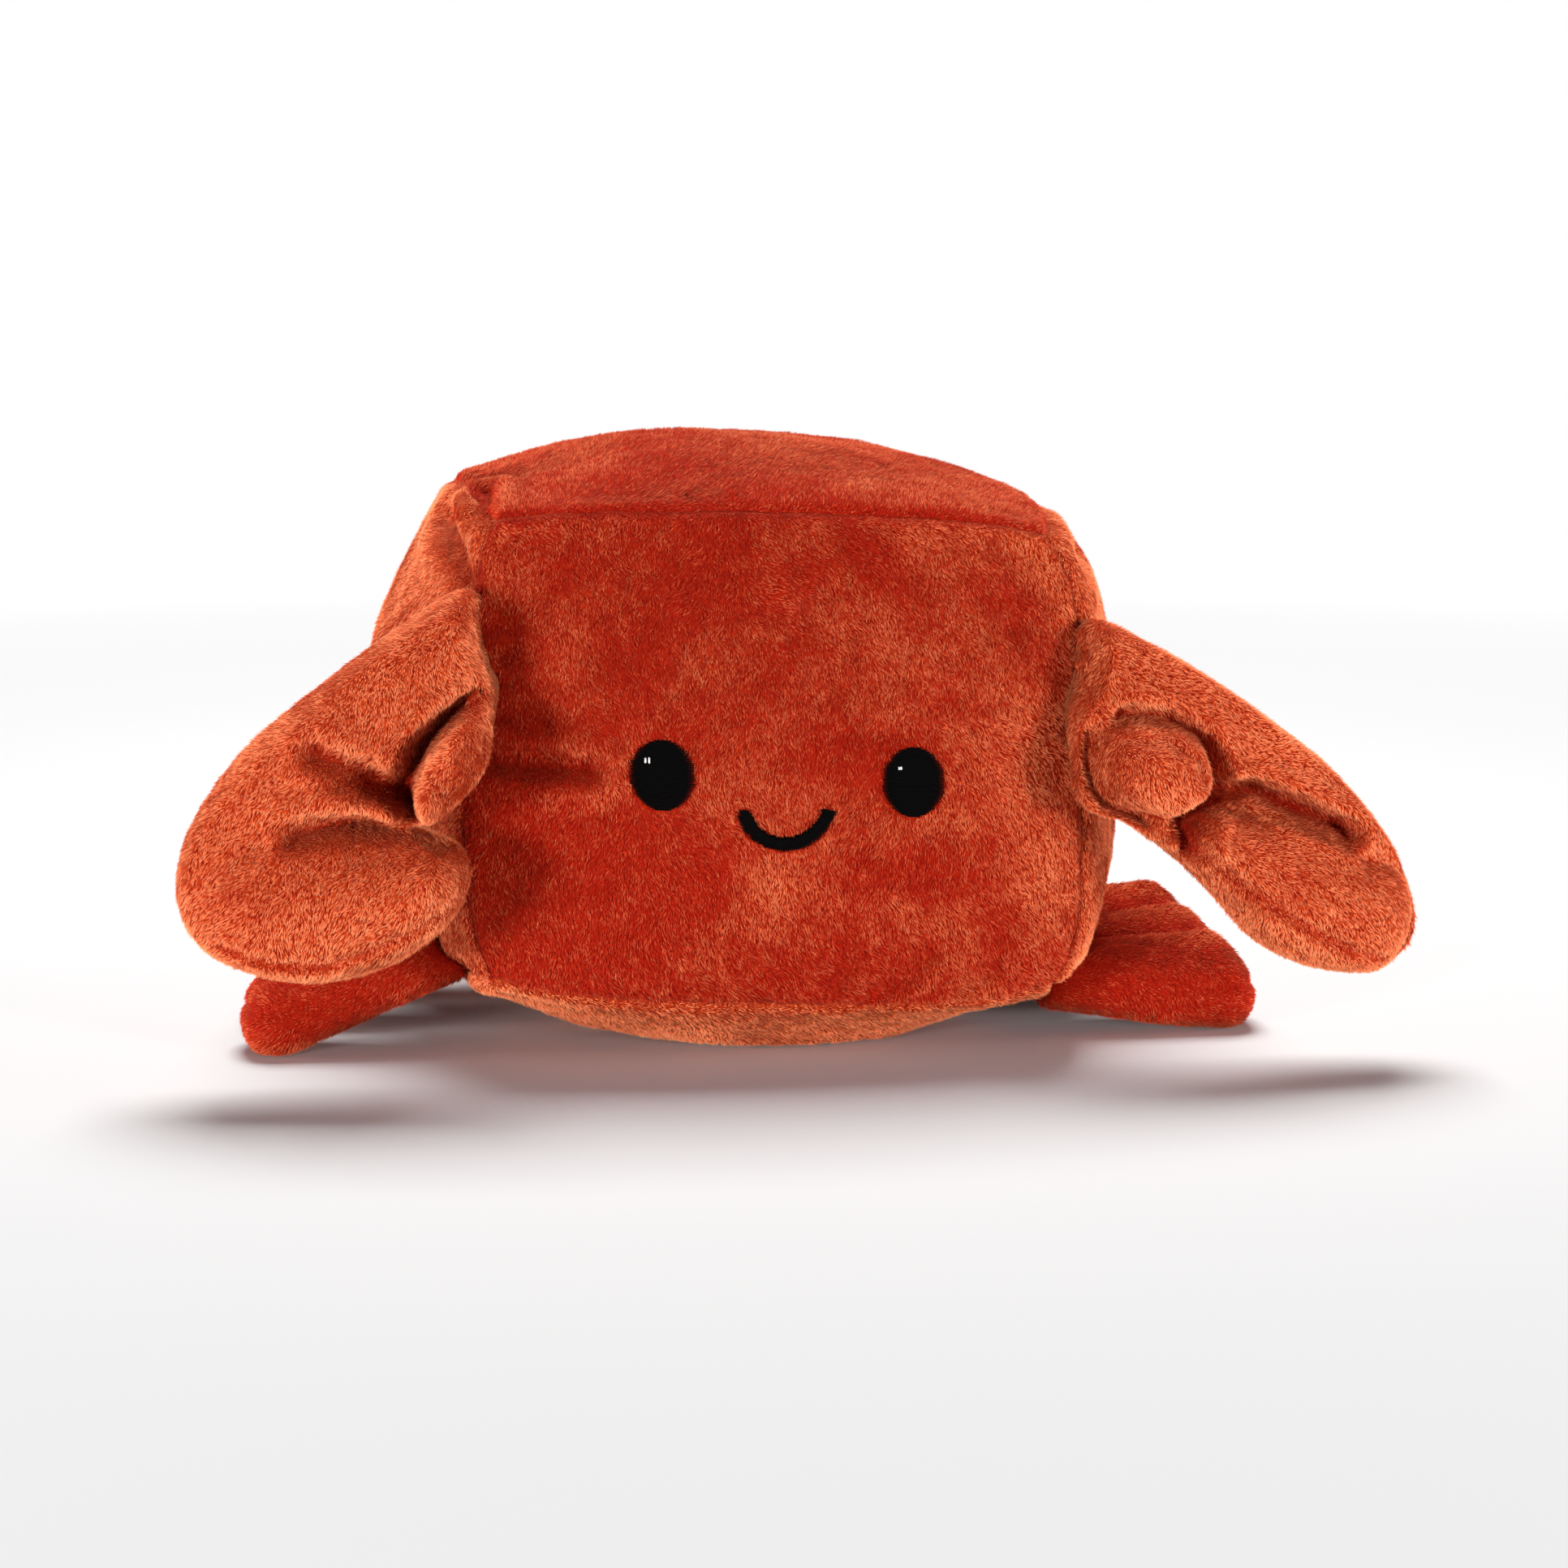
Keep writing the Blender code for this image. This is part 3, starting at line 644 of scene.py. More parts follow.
class Maker:
    """Makes the nodes of a new material, or of the world that it is given."""

    def __init__(self, owner):
        self.owner = bpy.data.materials.new(owner) if isinstance(owner, str) else owner
        self.owner.use_nodes = True
        self.tree = self.owner.node_tree

    def put(self, socket, value):
        """Links a Value to a socket, or sets the number or colour there."""
        if isinstance(value, Value):
            self.tree.links.new(value.socket, socket)
        elif hasattr(value, "__len__") and len(value) == 3 and socket.type == "RGBA":
            socket.default_value = (*value, 1.0)
        else:
            socket.default_value = value

    def node(self, kind, settings, *values, output=0, **named):
        """One output of a new node, from its settings and the values of its sockets."""
        made = self.tree.nodes.new(kind)
        for name, setting in settings.items():
            setattr(made, name, setting)
        for socket, value in zip(made.inputs, values):
            self.put(socket, value)
        for name, value in named.items():
            self.put(made.inputs[name.replace("_", " ")], value)
        return Value(self, made.outputs[output])

    def math(self, operation, *values):
        """Values through a Math node."""
        return self.node("ShaderNodeMath", {"operation": operation}, *values)

    def rays(self, *kinds):
        """1 on rays of any of these kinds, and 0 on the others."""
        found = [self.node("ShaderNodeLightPath", {}, output=f"Is {kind} Ray") for kind in kinds]
        while len(found) > 1:
            found = [self.math("MAXIMUM", *found[:2]), *found[2:]]
        return found[0]

    def places(self):
        """Object coordinates."""
        return self.node("ShaderNodeTexCoord", {}, output="Object")

    def noise(self, vector, scale, detail=2.0, roughness=0.5):
        """Noise from 0 to 1."""
        return self.node("ShaderNodeTexNoise", {}, Vector=vector, Scale=scale, Detail=detail,
                         Roughness=roughness)

    def stretched(self, vector, scale):
        """Coordinates scaled along each axis."""
        return self.node("ShaderNodeMapping", {"vector_type": "POINT"}, Vector=vector, Scale=scale)

    def mix(self, share, a, b):
        """From colour a to colour b as share goes from 0 to 1."""
        made = self.tree.nodes.new("ShaderNodeMix")
        made.data_type = "RGBA"
        self.put(made.inputs[0], share)
        self.put(made.inputs[6], a)
        self.put(made.inputs[7], b)
        return Value(self, made.outputs[2])

    def bump(self, height, strength, distance):
        """A bumped normal."""
        return self.node("ShaderNodeBump", {}, Height=height, Strength=strength,
                         Distance=distance)

    def finish(self, **values):
        """Sets the sockets of the material's own shader and gives the material."""
        shader = self.tree.nodes["Principled BSDF"]
        for name, value in values.items():
            self.put(shader.inputs[name.replace("_", " ")], value)
        return self.owner

    def finish_with(self, shader, own, output):
        """Puts a shader in place of its own one and gives the material or the world."""
        self.tree.nodes.remove(self.tree.nodes[own])
        self.put(self.tree.nodes[output].inputs["Surface"], shader)
        return self.owner


def pile_material(colours):
    """Pile: its map runs from deep to light shade across, and from root to tip upwards. The dark
    roots are painted shade, and the light tips are painted sheen.
    """
    make = Maker("plush_pile")
    place = make.node("ShaderNodeUVMap", {"uv_map": "OFBake"})
    across = make.node("ShaderNodeSeparateXYZ", {}, place, output="X")
    up = make.node("ShaderNodeSeparateXYZ", {}, place, output="Y")
    middle = make.mix(across, tuple(colours.flat), tuple(colours.standing))
    lower = make.mix(up.clipped(*ROOT_SHADE_ENDS), tuple(colours.root), middle)
    colour = make.mix(up.clipped(*TIP_SHEEN_BEGINS) * across, lower, tuple(colours.tip))
    return make.finish(
        Base_Color=colour, Roughness=0.85, Specular_IOR_Level=0.05, Sheen_Weight=0.35,
        Sheen_Roughness=SHEEN_ROUGHNESS, Sheen_Tint=SHEEN_TINT)


def cover_material(colours):
    """Fabric under the pile: deep colour, mottled, with a napped bump."""
    make = Maker("napped_cover")
    place = make.places()
    napped = make.noise(make.stretched(place, FABRIC_GRAIN), 1.0, detail=3.0, roughness=0.6)
    mottled = make.noise(place, FABRIC_MOTTLE, detail=3.0)
    # The shade here carries the pile's painted light and shade, and the root colour is painted
    # shade
    shade = make.node("ShaderNodeAttribute", {"attribute_name": "shade"}, output="Fac")
    shade = shade * (1 - MOTTLED_SHARE) + mottled * MOTTLED_SHARE
    pile = make.mix(shade, tuple(colours.flat), tuple(colours.standing))
    colour = make.mix(napped.clipped(*NAPPED) * NAPPED_SHARE, tuple(colours.root), pile)
    return make.finish(
        Base_Color=colour, Roughness=0.9, Specular_IOR_Level=0.05, Sheen_Weight=0.20,
        Sheen_Roughness=SHEEN_ROUGHNESS, Sheen_Tint=SHEEN_TINT,
        Normal=make.bump(napped, strength=0.6, distance=0.0004))


def thread_material(name, colour):
    """Embroidery thread: twisted fibres with a low sheen."""
    make = Maker(name)
    place = make.places()
    twist = make.noise(make.stretched(place, THREAD_GRAIN), 1.0, detail=3.0, roughness=0.6)
    lighter = tuple(min(1.0, c * 1.6 + 0.001) for c in colour)
    return make.finish(
        Base_Color=make.mix(twist, tuple(colour), lighter), Roughness=0.55 + twist * 0.25,
        Specular_IOR_Level=0.02, Sheen_Weight=0.002, Sheen_Roughness=0.4,
        Normal=make.bump(twist, strength=0.35, distance=0.00008))


def material_once(name, make, *values):
    """The material of that name, made the first time that it is asked for."""
    return bpy.data.materials.get(name) or make(*values)


# Body

def body_form(places, inset):
    """Places on the stuffed cube, from places on the cube of side 2."""
    u, v, w = places.T
    eu, ev, ew = 1 - u * u, 1 - v * v, 1 - w * w
    half_height = (SEAM_HIGH - SEAM_LOW) / 2
    crown = np.where(w > 0, TOP_BULGE, BOTTOM_BULGE)
    pull = CORNER_PULL * (u * v * w) ** 4
    shoulder = SIDE_SHOULDER * np.maximum(0.0, u) * w * w * ew * (0.4 + 0.6 * ev)
    x = u * (FACE_WIDTH / 2 - inset - pull - TOP_NARROWING * w + SIDE_SEAM_BOW * ew
             + SEAM_BOW * ev + SIDE_BULGE * ev * ew + shoulder)
    y = v * (BODY_DEPTH / 2 - inset - pull + SEAM_BOW * (eu + ew) + FRONT_BULGE * eu * ew)
    z = w * (half_height - inset - pull + SEAM_BOW * (eu + ev) + crown * eu * ev)
    z += (SEAM_HIGH + SEAM_LOW) / 2 - BACK_DROP * np.maximum(0.0, w) * (1 + v) / 2
    creased = np.minimum(1.0, 6 * ew) * np.minimum(1.0, 6 * eu) * np.clip(-v, 0, 1) ** 8
    y += creased * crease_depth(np.stack((x, z), 1), FACE_CREASES)
    return np.stack((x, y, np.maximum(inset, z - SLUMP * x)), 1)


def keep_panels(body, places):
    """Keeps for each face of the body which of the cube's six sides it belongs to."""
    corners = read(body.data.loops, "vertex_index", 1, np.int32)
    centres = places[corners].reshape(-1, 4, 3).mean(axis=1)
    axis = np.abs(centres).argmax(axis=1)
    positive = np.take_along_axis(centres, axis[:, None], 1)[:, 0] > 0
    kept = body.data.attributes.new("panel", "INT", "FACE")
    kept.data.foreach_set("value", (2 * axis + positive).astype(np.int32))


def seam_distance(places):
    """How far places on the cube are from the nearest of its seams."""
    halves = np.array((FACE_WIDTH / 2, BODY_DEPTH / 2, (SEAM_HIGH - SEAM_LOW) / 2))
    return np.sort((1 - np.abs(places)) * halves, axis=1)[:, 1]


def crushed_share(points):
    """How far the pile is crushed at each point of the front, from 0 to 1."""
    share = np.zeros(len(points))
    front = np.clip((-points[:, 1] - CRUSHED_FROM) / CRUSHED_OVER, 0, 1)
    for (x, z), half_length, half_width, turn, strength in CRUSHED:
        c, s = math.cos(math.radians(turn)), math.sin(math.radians(turn))
        across, up = points[:, 0] - x, points[:, 2] - z
        reach = np.hypot((across * c + up * s) / half_length, (up * c - across * s) / half_width)
        share = np.maximum(share, strength * np.exp(-reach ** 2))
    return share * front


def patches(points, seed):
    """How much lighter or darker the pile is at each point, in soft patches."""
    return sum(strength * (cloudy_noise(points, size, seed + 7 * i) - 0.5)
               for i, (size, strength) in enumerate(PATCHES))


def round_corners(points, places):
    """Draws the body's corners in towards its middle."""
    middle = np.array((0.0, 0.0, (SEAM_HIGH + SEAM_LOW) / 2))
    for corner, give, reach in SOFT_CORNERS:
        nearest = points[np.linalg.norm(places - corner, axis=1).argmin()]
        away = np.linalg.norm(points - nearest, axis=1)
        drawn = give * np.exp(-(away / reach) ** 2)
        points = points + drawn[:, None] * unit((middle - nearest)[None])
    return points


def on_level(places):
    """Which places on the cube lie on its top or its base."""
    return np.abs(places[:, 2]) > ON_SIDE


def body_relief(points, places, away):
    """The height of the body's lumps, ripples and seams, at each distance from a seam."""
    inside = 1 - np.exp(-away / PUCKER_REACH)
    heights = unevenness(points, SEEDS["body lumps"]) * inside
    ripples = 2 * soft_noise(points, PUCKER_SIZE, SEEDS["puckers"]) - 1
    heights += PUCKER * ripples * (1 - inside)
    worn = np.exp(-(np.linalg.norm(places - SOFT_CORNERS[0][0], axis=1) / SEAM_WORN) ** 2)
    return heights - SEAM_DEPTH * (1 - worn) * np.exp(-(away / SEAM_HALF_WIDTH) ** 2)


def body_lightness_with_painted_light(points, places, away, pinched):
    """How light the body's pile is: its own patches and crushed places, painted shade in its seams,
    creases and folds, and painted light on its sides, top and base.
    """
    in_front = places[:, 1] < -ON_SIDE
    lightness = patches(points, SEEDS["body patches"])
    lightness *= np.where(in_front, 1.0, PATCHES_OFF_FRONT)
    lightness -= CRUSHED_SHADE * crushed_share(points)
    # Painted shade in the face's creases
    lightness -= FACE_CREASE_PAINTED_SHADE * in_front * crease_depth(points[:, (0, 2)], FACE_CREASES)
    lightness += SHADES_AND_PAINTED_LIGHT["front"] + np.where(on_level(places), LEVEL_SHADE, points @ SHADE_SLOPE)
    # The sides, top and base made lighter as painted sheen and bounce light
    for name, (axis, way) in SIDES.items():
        lightness += (SHADES_AND_PAINTED_LIGHT[name] - SHADES_AND_PAINTED_LIGHT["front"]) * (way * places[:, axis] > ON_SIDE)
    # Painted shade along the seams and in the pinched folds
    seams = np.exp(-(away / SEAM_HALF_WIDTH) ** 2)
    return lightness - (BODY_SEAM_PAINTED_SHADE * seams + PINCH_PAINTED_SHADE * pinched)


class CRAB_OT_body(bpy.types.Operator):
    """Models the body's cover: a stuffed cube with drawn-in seams and creases"""

    bl_idname = "plush_crab.body"
    bl_label = "Body"

    def execute(self, context):
        deselect()
        bpy.ops.mesh.primitive_cube_add(size=2.0)
        body = context.object
        bpy.ops.object.mode_set(mode="EDIT")
        bpy.ops.mesh.select_all(action="SELECT")
        bpy.ops.mesh.subdivide(number_cuts=BODY_CUTS)
        bpy.ops.object.mode_set(mode="OBJECT")
        places = points_of(body)
        places = (1 - SEAM_CROWDING) * places + SEAM_CROWDING * np.sin(places * math.pi / 2)
        move_points(body, round_corners(body_form(places, COVER_INSET), places))
        away = seam_distance(places)
        pinched = crease_depth(points_of(body), PINCHES)
        push(body, body_relief(points_of(body), places, away) - pinched)
        points = keep_off_floor(body)
        keep_panels(body, places)
        finish_cover(
            body, "body_cover",
            ("front_panel", "back_panel", "left_side_panel", "right_side_panel", "top_panel",
             "base_panel", "body_stuffing"),
            body_lightness_with_painted_light(points, places, away, pinched),
            SEAM_PILE["body"] + (1 - SEAM_PILE["body"]) * away / SEAM_PILE_REACH,
            np.where(on_level(places)[:, None], LEVEL_NAP, BODY_NAP))
        return {"FINISHED"}


# Claws

def smooth_outline(points, shares):
    """Places on a closed smooth curve through points, at shares of the way round it."""
    points = np.array(points)
    total = len(points)
    k, t = np.divmod(np.mod(shares, 1.0) * total, 1.0)
    k = k.astype(int)
    t = t[:, None]
    p0, p1, p2, p3 = (points[(k + step) % total] for step in (-1, 0, 1, 2))
    return 0.5 * (2 * p1 + (p2 - p0) * t + (2 * p0 - 5 * p1 + 4 * p2 - p3) * t ** 2
                  + (3 * p1 - p0 - 3 * p2 + p3) * t ** 3)


def claw_frame(side):
    """A claw's root, and the ways that lie outward, upward and to the front from it."""
    mirror = MIRROR[side]
    yaw, lean = math.radians(CLAW_YAW[side]), math.radians(CLAW_LEAN)
    outward = np.array((mirror * math.cos(yaw), math.sin(yaw), 0.0))
    front = np.array((mirror * math.sin(yaw), -math.cos(yaw), 0.0))
    upward = np.array((0.0, 0.0, math.cos(lean))) - front * math.sin(lean)
    root = np.array((mirror * (FACE_WIDTH / 2 + CLAW_ROOT_OUT),
                     CLAW_SEATED[side] - BODY_DEPTH / 2, CLAW_ROOT_HEIGHT[side]))
    return root, outward, upward, front


def claw_places(side, flat, raised):
    """Places in space from a claw's own measure: raised stands out of its middle sheet."""
    root, outward, upward, front = claw_frame(side)
    forward = CLAW_FORWARD * (1 - np.exp(np.minimum(0.0, flat[:, 1]) / CLAW_FORWARD_DROP))
    return (root + flat[:, :1] * outward + flat[:, 1:] * upward
            + (forward + raised)[:, None] * front)


def lobe_height(flat, lobe):
    """The height of one stuffed lobe at each place."""
    height, *knots = lobe
    height *= LOBE_FULLNESS
    away, along = along_line(flat, [place for place, _ in knots])
    radius = np.interp(along, np.arange(len(knots)), [radius for _, radius in knots])
    return height * np.sqrt(np.clip(1 - (away / radius) ** 2, 0, 1))


def claw_form(side, ball):
    """A claw from a ball of radius 1: its places in space, flat places and rim distance."""
    share = np.clip(np.hypot(ball[:, 0], ball[:, 1]), 0, 1) ** CLAW_RINGS_OUT
    turn = np.arctan2(ball[:, 1], ball[:, 0]) / (2 * math.pi)
    outline = smooth_outline(CLAW_OUTLINES[side], turn)
    centre = np.array(CLAW_CENTRES[side])
    reach = outline - centre
    length = np.linalg.norm(reach, axis=1)
    flat = centre + reach * (share * (1 - COVER_INSET / length))[:, None]
    narrow = 1 - share * np.maximum(0.0, 1 - length / (CLAW_NARROW * CLAW_BELLY))
    rounding = (1 - share ** CLAW_EDGE[0]).clip(0, 1) ** CLAW_EDGE[1]
    lobes = np.zeros(len(flat))
    for lobe in CLAW_LOBES[side]:
        lobes = smooth_most(lobes, lobe_height(flat, lobe), LOBE_SOFTNESS)
    lobes = smooth_most(lobes, CLAW_VALLEY * np.ones(len(flat)), CLAW_VALLEY_SOFTNESS)
    rim = 1 - np.clip((1 - share) * length / CLAW_RIM_REACH, 0, 1)
    front = smooth_least(lobes, CLAW_RIM_HEIGHT * np.sqrt(1 - rim ** 2), LOBE_SOFTNESS)
    front -= crease_depth(flat, CLAW_CREASES[side]) * np.minimum(1, rounding * 2)
    front -= crease_depth(flat, ((CLAW_SEAMS[side], *CLAW_SEAM),)) * np.minimum(1, rounding * 3)
    front = np.maximum(front - COVER_INSET, 0.0)
    back = np.maximum(CLAW_BACK_BELLY * narrow * rounding - COVER_INSET, 0.0)
    on_rim = np.abs(ball[:, 2]) < 1e-5
    raised = np.where(ball[:, 2] > 0, front, -back)
    raised[on_rim] = 0.0
    return claw_places(side, flat, raised), flat, (1 - share) * length


def sewn_on(points, flat, rim, behind, body):
    """A claw's places with the back of its inner edge drawn to the body, where it is sewn."""
    sewn = np.exp(-(rim / SEWN_REACH) ** 2) * (flat[:, 0] < SEWN_WIDTH) * behind
    sewn *= np.clip((flat[:, 1] + SEWN_LENGTH) / (SEWN_FADE * SEWN_LENGTH), 0, 1)
    drawn = points.copy()
    for i in np.flatnonzero(sewn > SEWN_LEAST):
        place, normal, _, _ = body.find_nearest(Vector(points[i]))
        drawn[i] += sewn[i] * (np.array(place + normal * COVER_INSET / 2) - points[i])
    return drawn


class CRAB_OT_claws(bpy.types.Operator):
    """Models the covers of both claws: stuffed lobes with creases between them"""

    bl_idname = "plush_crab.claws"
    bl_label = "Claws"

    def execute(self, context):
        tree = tree_of(bpy.data.objects["body_cover"])
        for seed, side in enumerate(MIRROR):
            claw = add_ball(CLAW_SEGMENTS, CLAW_RINGS)
            in_front = points_of(claw)[:, 2] > CLAW_FRONT_FROM
            points, flat, rim = claw_form(side, points_of(claw))
            points = sewn_on(points, flat, rim, ~in_front, tree)
            move_points(claw, points)
            face_outwards(claw)
            lumps = CLAW_LUMPS * unevenness(points, SEEDS["claw lumps"] + seed)
            push(claw, lumps * (1 - np.exp(-rim / PUCKER_REACH)))
            seam = along_line(flat, CLAW_SEAMS[side])[0]
            creased = in_front * np.maximum(0, crease_depth(flat, CLAW_CREASES[side]))
            # The claws' own patches, made lighter overall as painted sheen; then painted shade in
            # the creases, painted sheen round the rim and painted shade along the front seam
            lightness = patches(points, SEEDS["claw patches"] + seed) + SHADES_AND_PAINTED_LIGHT["claws"]
            lightness -= CREASE_PAINTED_SHADE * creased
            lightness += CLAW_RIM_PAINTED_SHEEN * np.exp(-(rim / CLAW_RIM_LIT) ** 2)
            lightness -= CLAW_SEAM_PAINTED_SHADE * in_front * np.exp(-(seam / SEAM_HALF_WIDTH) ** 2)
            _, outward, upward, _ = claw_frame(side)
            finish_cover(
                claw, f"{side}_claw_cover",
                (f"{side}_claw_front", f"{side}_claw_back", f"{side}_claw_stuffing"),
                lightness,
                SEAM_PILE["claws"] + (1 - SEAM_PILE["claws"]) * seam / SEAM_PILE_REACH,
                CLAW_NAP[0] * outward + CLAW_NAP[1] * upward)
        return {"FINISHED"}


# Legs

def squared(part):
    """Sines or cosines made a little fuller, for a section fuller than an ellipse."""
    return np.copysign(np.abs(part) ** LEG_SQUARENESS, part)


def leg_form(side, middle, drawn_in, ball, body):
    """A leg from a ball of radius 1, with its root against the body."""
    mirror = MIRROR[side]
    place = np.arccos(np.clip(ball[:, 2], -1, 1)) / math.pi
    turn = np.arctan2(ball[:, 1], ball[:, 0])
    closing_root = np.clip(place / ROOT_SHARE, 0, 1)
    along = np.clip((place - ROOT_SHARE) / (1 - ROOT_SHARE), 0, 1)
    along = np.sin(along * math.pi / 2) ** LEG_SPREAD
    closing = np.clip((along - LEG_ROUNDING) / (1 - LEG_ROUNDING), 0, 1)
    taper = np.sqrt(np.clip(1 - closing ** LEG_BLUNTNESS, 0, 1)) * closing_root
    growth = np.minimum(1.0, along / LEG_ROUNDING)
    height = LEG_ROOT_HEIGHT + (LEG_HEIGHT - LEG_ROOT_HEIGHT) * growth
    root_level = SEAM_LOW - mirror * SLUMP * FACE_WIDTH / 2 + LEG_ROOT_LIFT[side]
    level = root_level + (LEG_HEIGHT * LEG_SQUASH / 2 - root_level) * growth
    high = np.clip(np.sin(turn), 0, 1)
    narrow = 1 - LEG_RIDGE * growth * high ** 2 * (3 - 2 * high)
    y = middle + taper * narrow * (LEG_WIDTH / 2 - COVER_INSET) * squared(np.cos(turn))
    rise = taper * (height / 2 - COVER_INSET) * squared(np.sin(turn))
    z = np.maximum(COVER_INSET, level + rise)
    start = np.empty(len(ball))
    for i, (across, up) in enumerate(zip(y, z)):
        outside = Vector((mirror * 2 * FACE_WIDTH, across, up))
        hit = body.ray_cast(outside, Vector((-mirror, 0, 0)))[0]
        start[i] = max(abs(hit.x), FACE_WIDTH / 2) if hit else FACE_WIDTH / 2
    tip = FACE_WIDTH / 2 + LEG_REACH - drawn_in - COVER_INSET
    reach = start + COVER_INSET + (tip - start) * along
    reach -= TIP_SLANT * np.maximum(0, rise) * growth ** 4
    return np.stack((mirror * reach, y, z), 1), rise, along


class CRAB_OT_legs(bpy.types.Operator):
    """Models the covers of the six legs"""

    bl_idname = "plush_crab.legs"
    bl_label = "Legs"

    def execute(self, context):
        tree = tree_of(bpy.data.objects["body_cover"])
        for seed, (side, (step, label)) in enumerate(itertools.product(MIRROR, enumerate(
                LEG_PLACES))):
            leg = add_ball(LEG_SEGMENTS, LEG_RINGS)
            points, rise, along = leg_form(side, LEG_FIRST + step * LEG_PITCH,
                                           LEG_DRAWN_IN[side][step], points_of(leg), tree)
            move_points(leg, points)
            face_outwards(leg)
            seam = np.exp(-(rise / SEAM_HALF_WIDTH) ** 2)
            seam *= np.clip((along - LEG_SEAM_FROM) / LEG_SEAM_OVER, 0, 1)
            lumps = LEG_LUMPS * unevenness(points, SEEDS["leg lumps"] + seed)
            push(leg, lumps - LEG_SEAM_DEPTH * seam)
            points = keep_off_floor(leg)
            height = rise / (LEG_HEIGHT / 2)
            lightness = PATCHES_ON_LEGS * patches(points, SEEDS["leg patches"] + seed)
            # Painted shade along the seam, then a painted highlight along the top and painted
            # bounce light at the foot
            lightness += SHADES_AND_PAINTED_LIGHT["legs"] - LEG_SEAM_PAINTED_SHADE * seam
            for way, (start, growth) in ((1, LEG_TOP_PAINTED_HIGHLIGHT), (-1, LEG_FOOT_PAINTED_LIGHT)):
                lightness += growth * np.clip(way * height - start, 0, 1)
            name = f"{side}_{label}_leg"
            finish_cover(
                leg, f"{name}_cover", (f"{name}_upper", f"{name}_lower", f"{name}_stuffing"),
                lightness, 1 - (1 - SEAM_PILE["legs"]) * seam,
                np.array((MIRROR[side], 1.0, 1.0)) * LEG_NAP)
        return {"FINISHED"}


# Embroidery

def front_depth(tree, across, up):
    """The place along Y of the front panel at x and z."""
    return tree.ray_cast(Vector((across, -0.5, up)), Vector((0, 1, 0)))[0].y


def thread_model():
    """One stitch of thread along Z, of radius 1 and half length 1."""
    deselect()
    bpy.ops.mesh.primitive_cylinder_add(
        vertices=THREAD_SIDES, radius=1.0, depth=2.0, end_fill_type="TRIFAN")
    thread = bpy.context.object
    bpy.ops.object.mode_set(mode="EDIT")
    bpy.ops.mesh.select_mode(type="EDGE")
    bpy.ops.mesh.select_all(action="DESELECT")
    bpy.ops.object.mode_set(mode="OBJECT")
    ends = points_of(thread)[:, 2]
    for edge in thread.data.edges:
        low, high = edge.vertices
        edge.select = bool(abs(ends[low] - ends[high]) > 1)
    bpy.ops.object.mode_set(mode="EDIT")
    bpy.ops.mesh.subdivide(number_cuts=THREAD_CUTS)
    bpy.ops.object.mode_set(mode="OBJECT")
    return thread


def stitch(tree, rows, pitch, lift, height):
    """Parallel stitches that lie on the face: rows of a start and an end, each (x, z)."""
    model = thread_model()
    shape = points_of(model)
    share = (shape[:, 2:] + 1) / 2
    slim = (1 - STITCH_SLIM * np.abs(shape[:, 2]) ** 6) * pitch * STITCH_RADIUS
    arch = 1 - STITCH_ARCH * np.abs(shape[:, 2]) ** 4
    made = []
    for start, end, top in rows:
        a, b = np.array(start), np.array(end)
        side = np.array((a[1] - b[1], b[0] - a[0])) / np.linalg.norm(b - a)
        thread = model.copy()
        thread.data = model.data.copy()
        bpy.context.collection.objects.link(thread)
        flat = a + (b - a) * share + side * (shape[:, :1] * slim[:, None])
        out = lift + top * height * arch + shape[:, 1] * slim
        depth = np.array([front_depth(tree, x, z) for x, z in flat])
        move_points(thread, np.stack((flat[:, 0], depth - out, flat[:, 1]), 1))
        made.append(thread)
    bpy.data.objects.remove(model)
    select_only(*made)
    bpy.ops.object.join()
    joined = bpy.context.object
    face_outwards(joined)
    return joined


def finish_stitches(thing, name, shade, replaced):
    """Finishes stitches of black or white thread."""
    colour = getattr(bpy.context.scene.crab_colours, f"{shade}_thread")
    thread = material_once(f"{shade}_stitches", thread_material, f"{shade}_stitches", colour)
    finish_piece(thing, name, thread, (replaced,))


def eye_rows(centre, width, height, pitch, random):
    """Level stitches that fill an oval, with uneven ends."""
    rows = []
    count = int(height / pitch)
    for i in range(count):
        up = (2 * (i + 0.5) / count - 1)
        half = width / 2 * math.sqrt(1 - up * up) + random.uniform(-1, 1) * STITCH_RAGGED
        z = centre[1] + up * height / 2
        tilt = half * EYE_TILT
        rows.append(((centre[0] - half, z - tilt), (centre[0] + half, z + tilt),
                     math.sqrt(1 - EYE_CROWN * up * up)))
    return rows


def mouth_rows(stroke, pitch, random):
    """Stitches across the smile's stroke, from its left end to its right end."""
    left, low, right = (Vector(p) for p in MOUTH_POINTS)
    half = (right - left).length / 2
    sag = ((left + right) / 2 - low).length
    radius = (half * half + sag * sag) / (2 * sag)
    centre = low + ((left + right) / 2 - low).normalized() * radius
    start, end = (math.atan2(p.y - centre.y, p.x - centre.x) for p in (left, right))
    count = int(radius * (end - start) / pitch)
    rows = []
    for i in range(count + 1):
        turn = start + (end - start) * i / count
        way = np.array((math.cos(turn), math.sin(turn)))
        reach = stroke / 2 * min(1.0, MOUTH_END[0] + MOUTH_END[1] * i)
        inner = radius - reach + random.uniform(-1, 1) * STITCH_RAGGED
        outer = radius + reach + random.uniform(-1, 1) * STITCH_RAGGED
        rows.append((np.array(centre) + way * inner, np.array(centre) + way * outer, 1.0))
    return rows


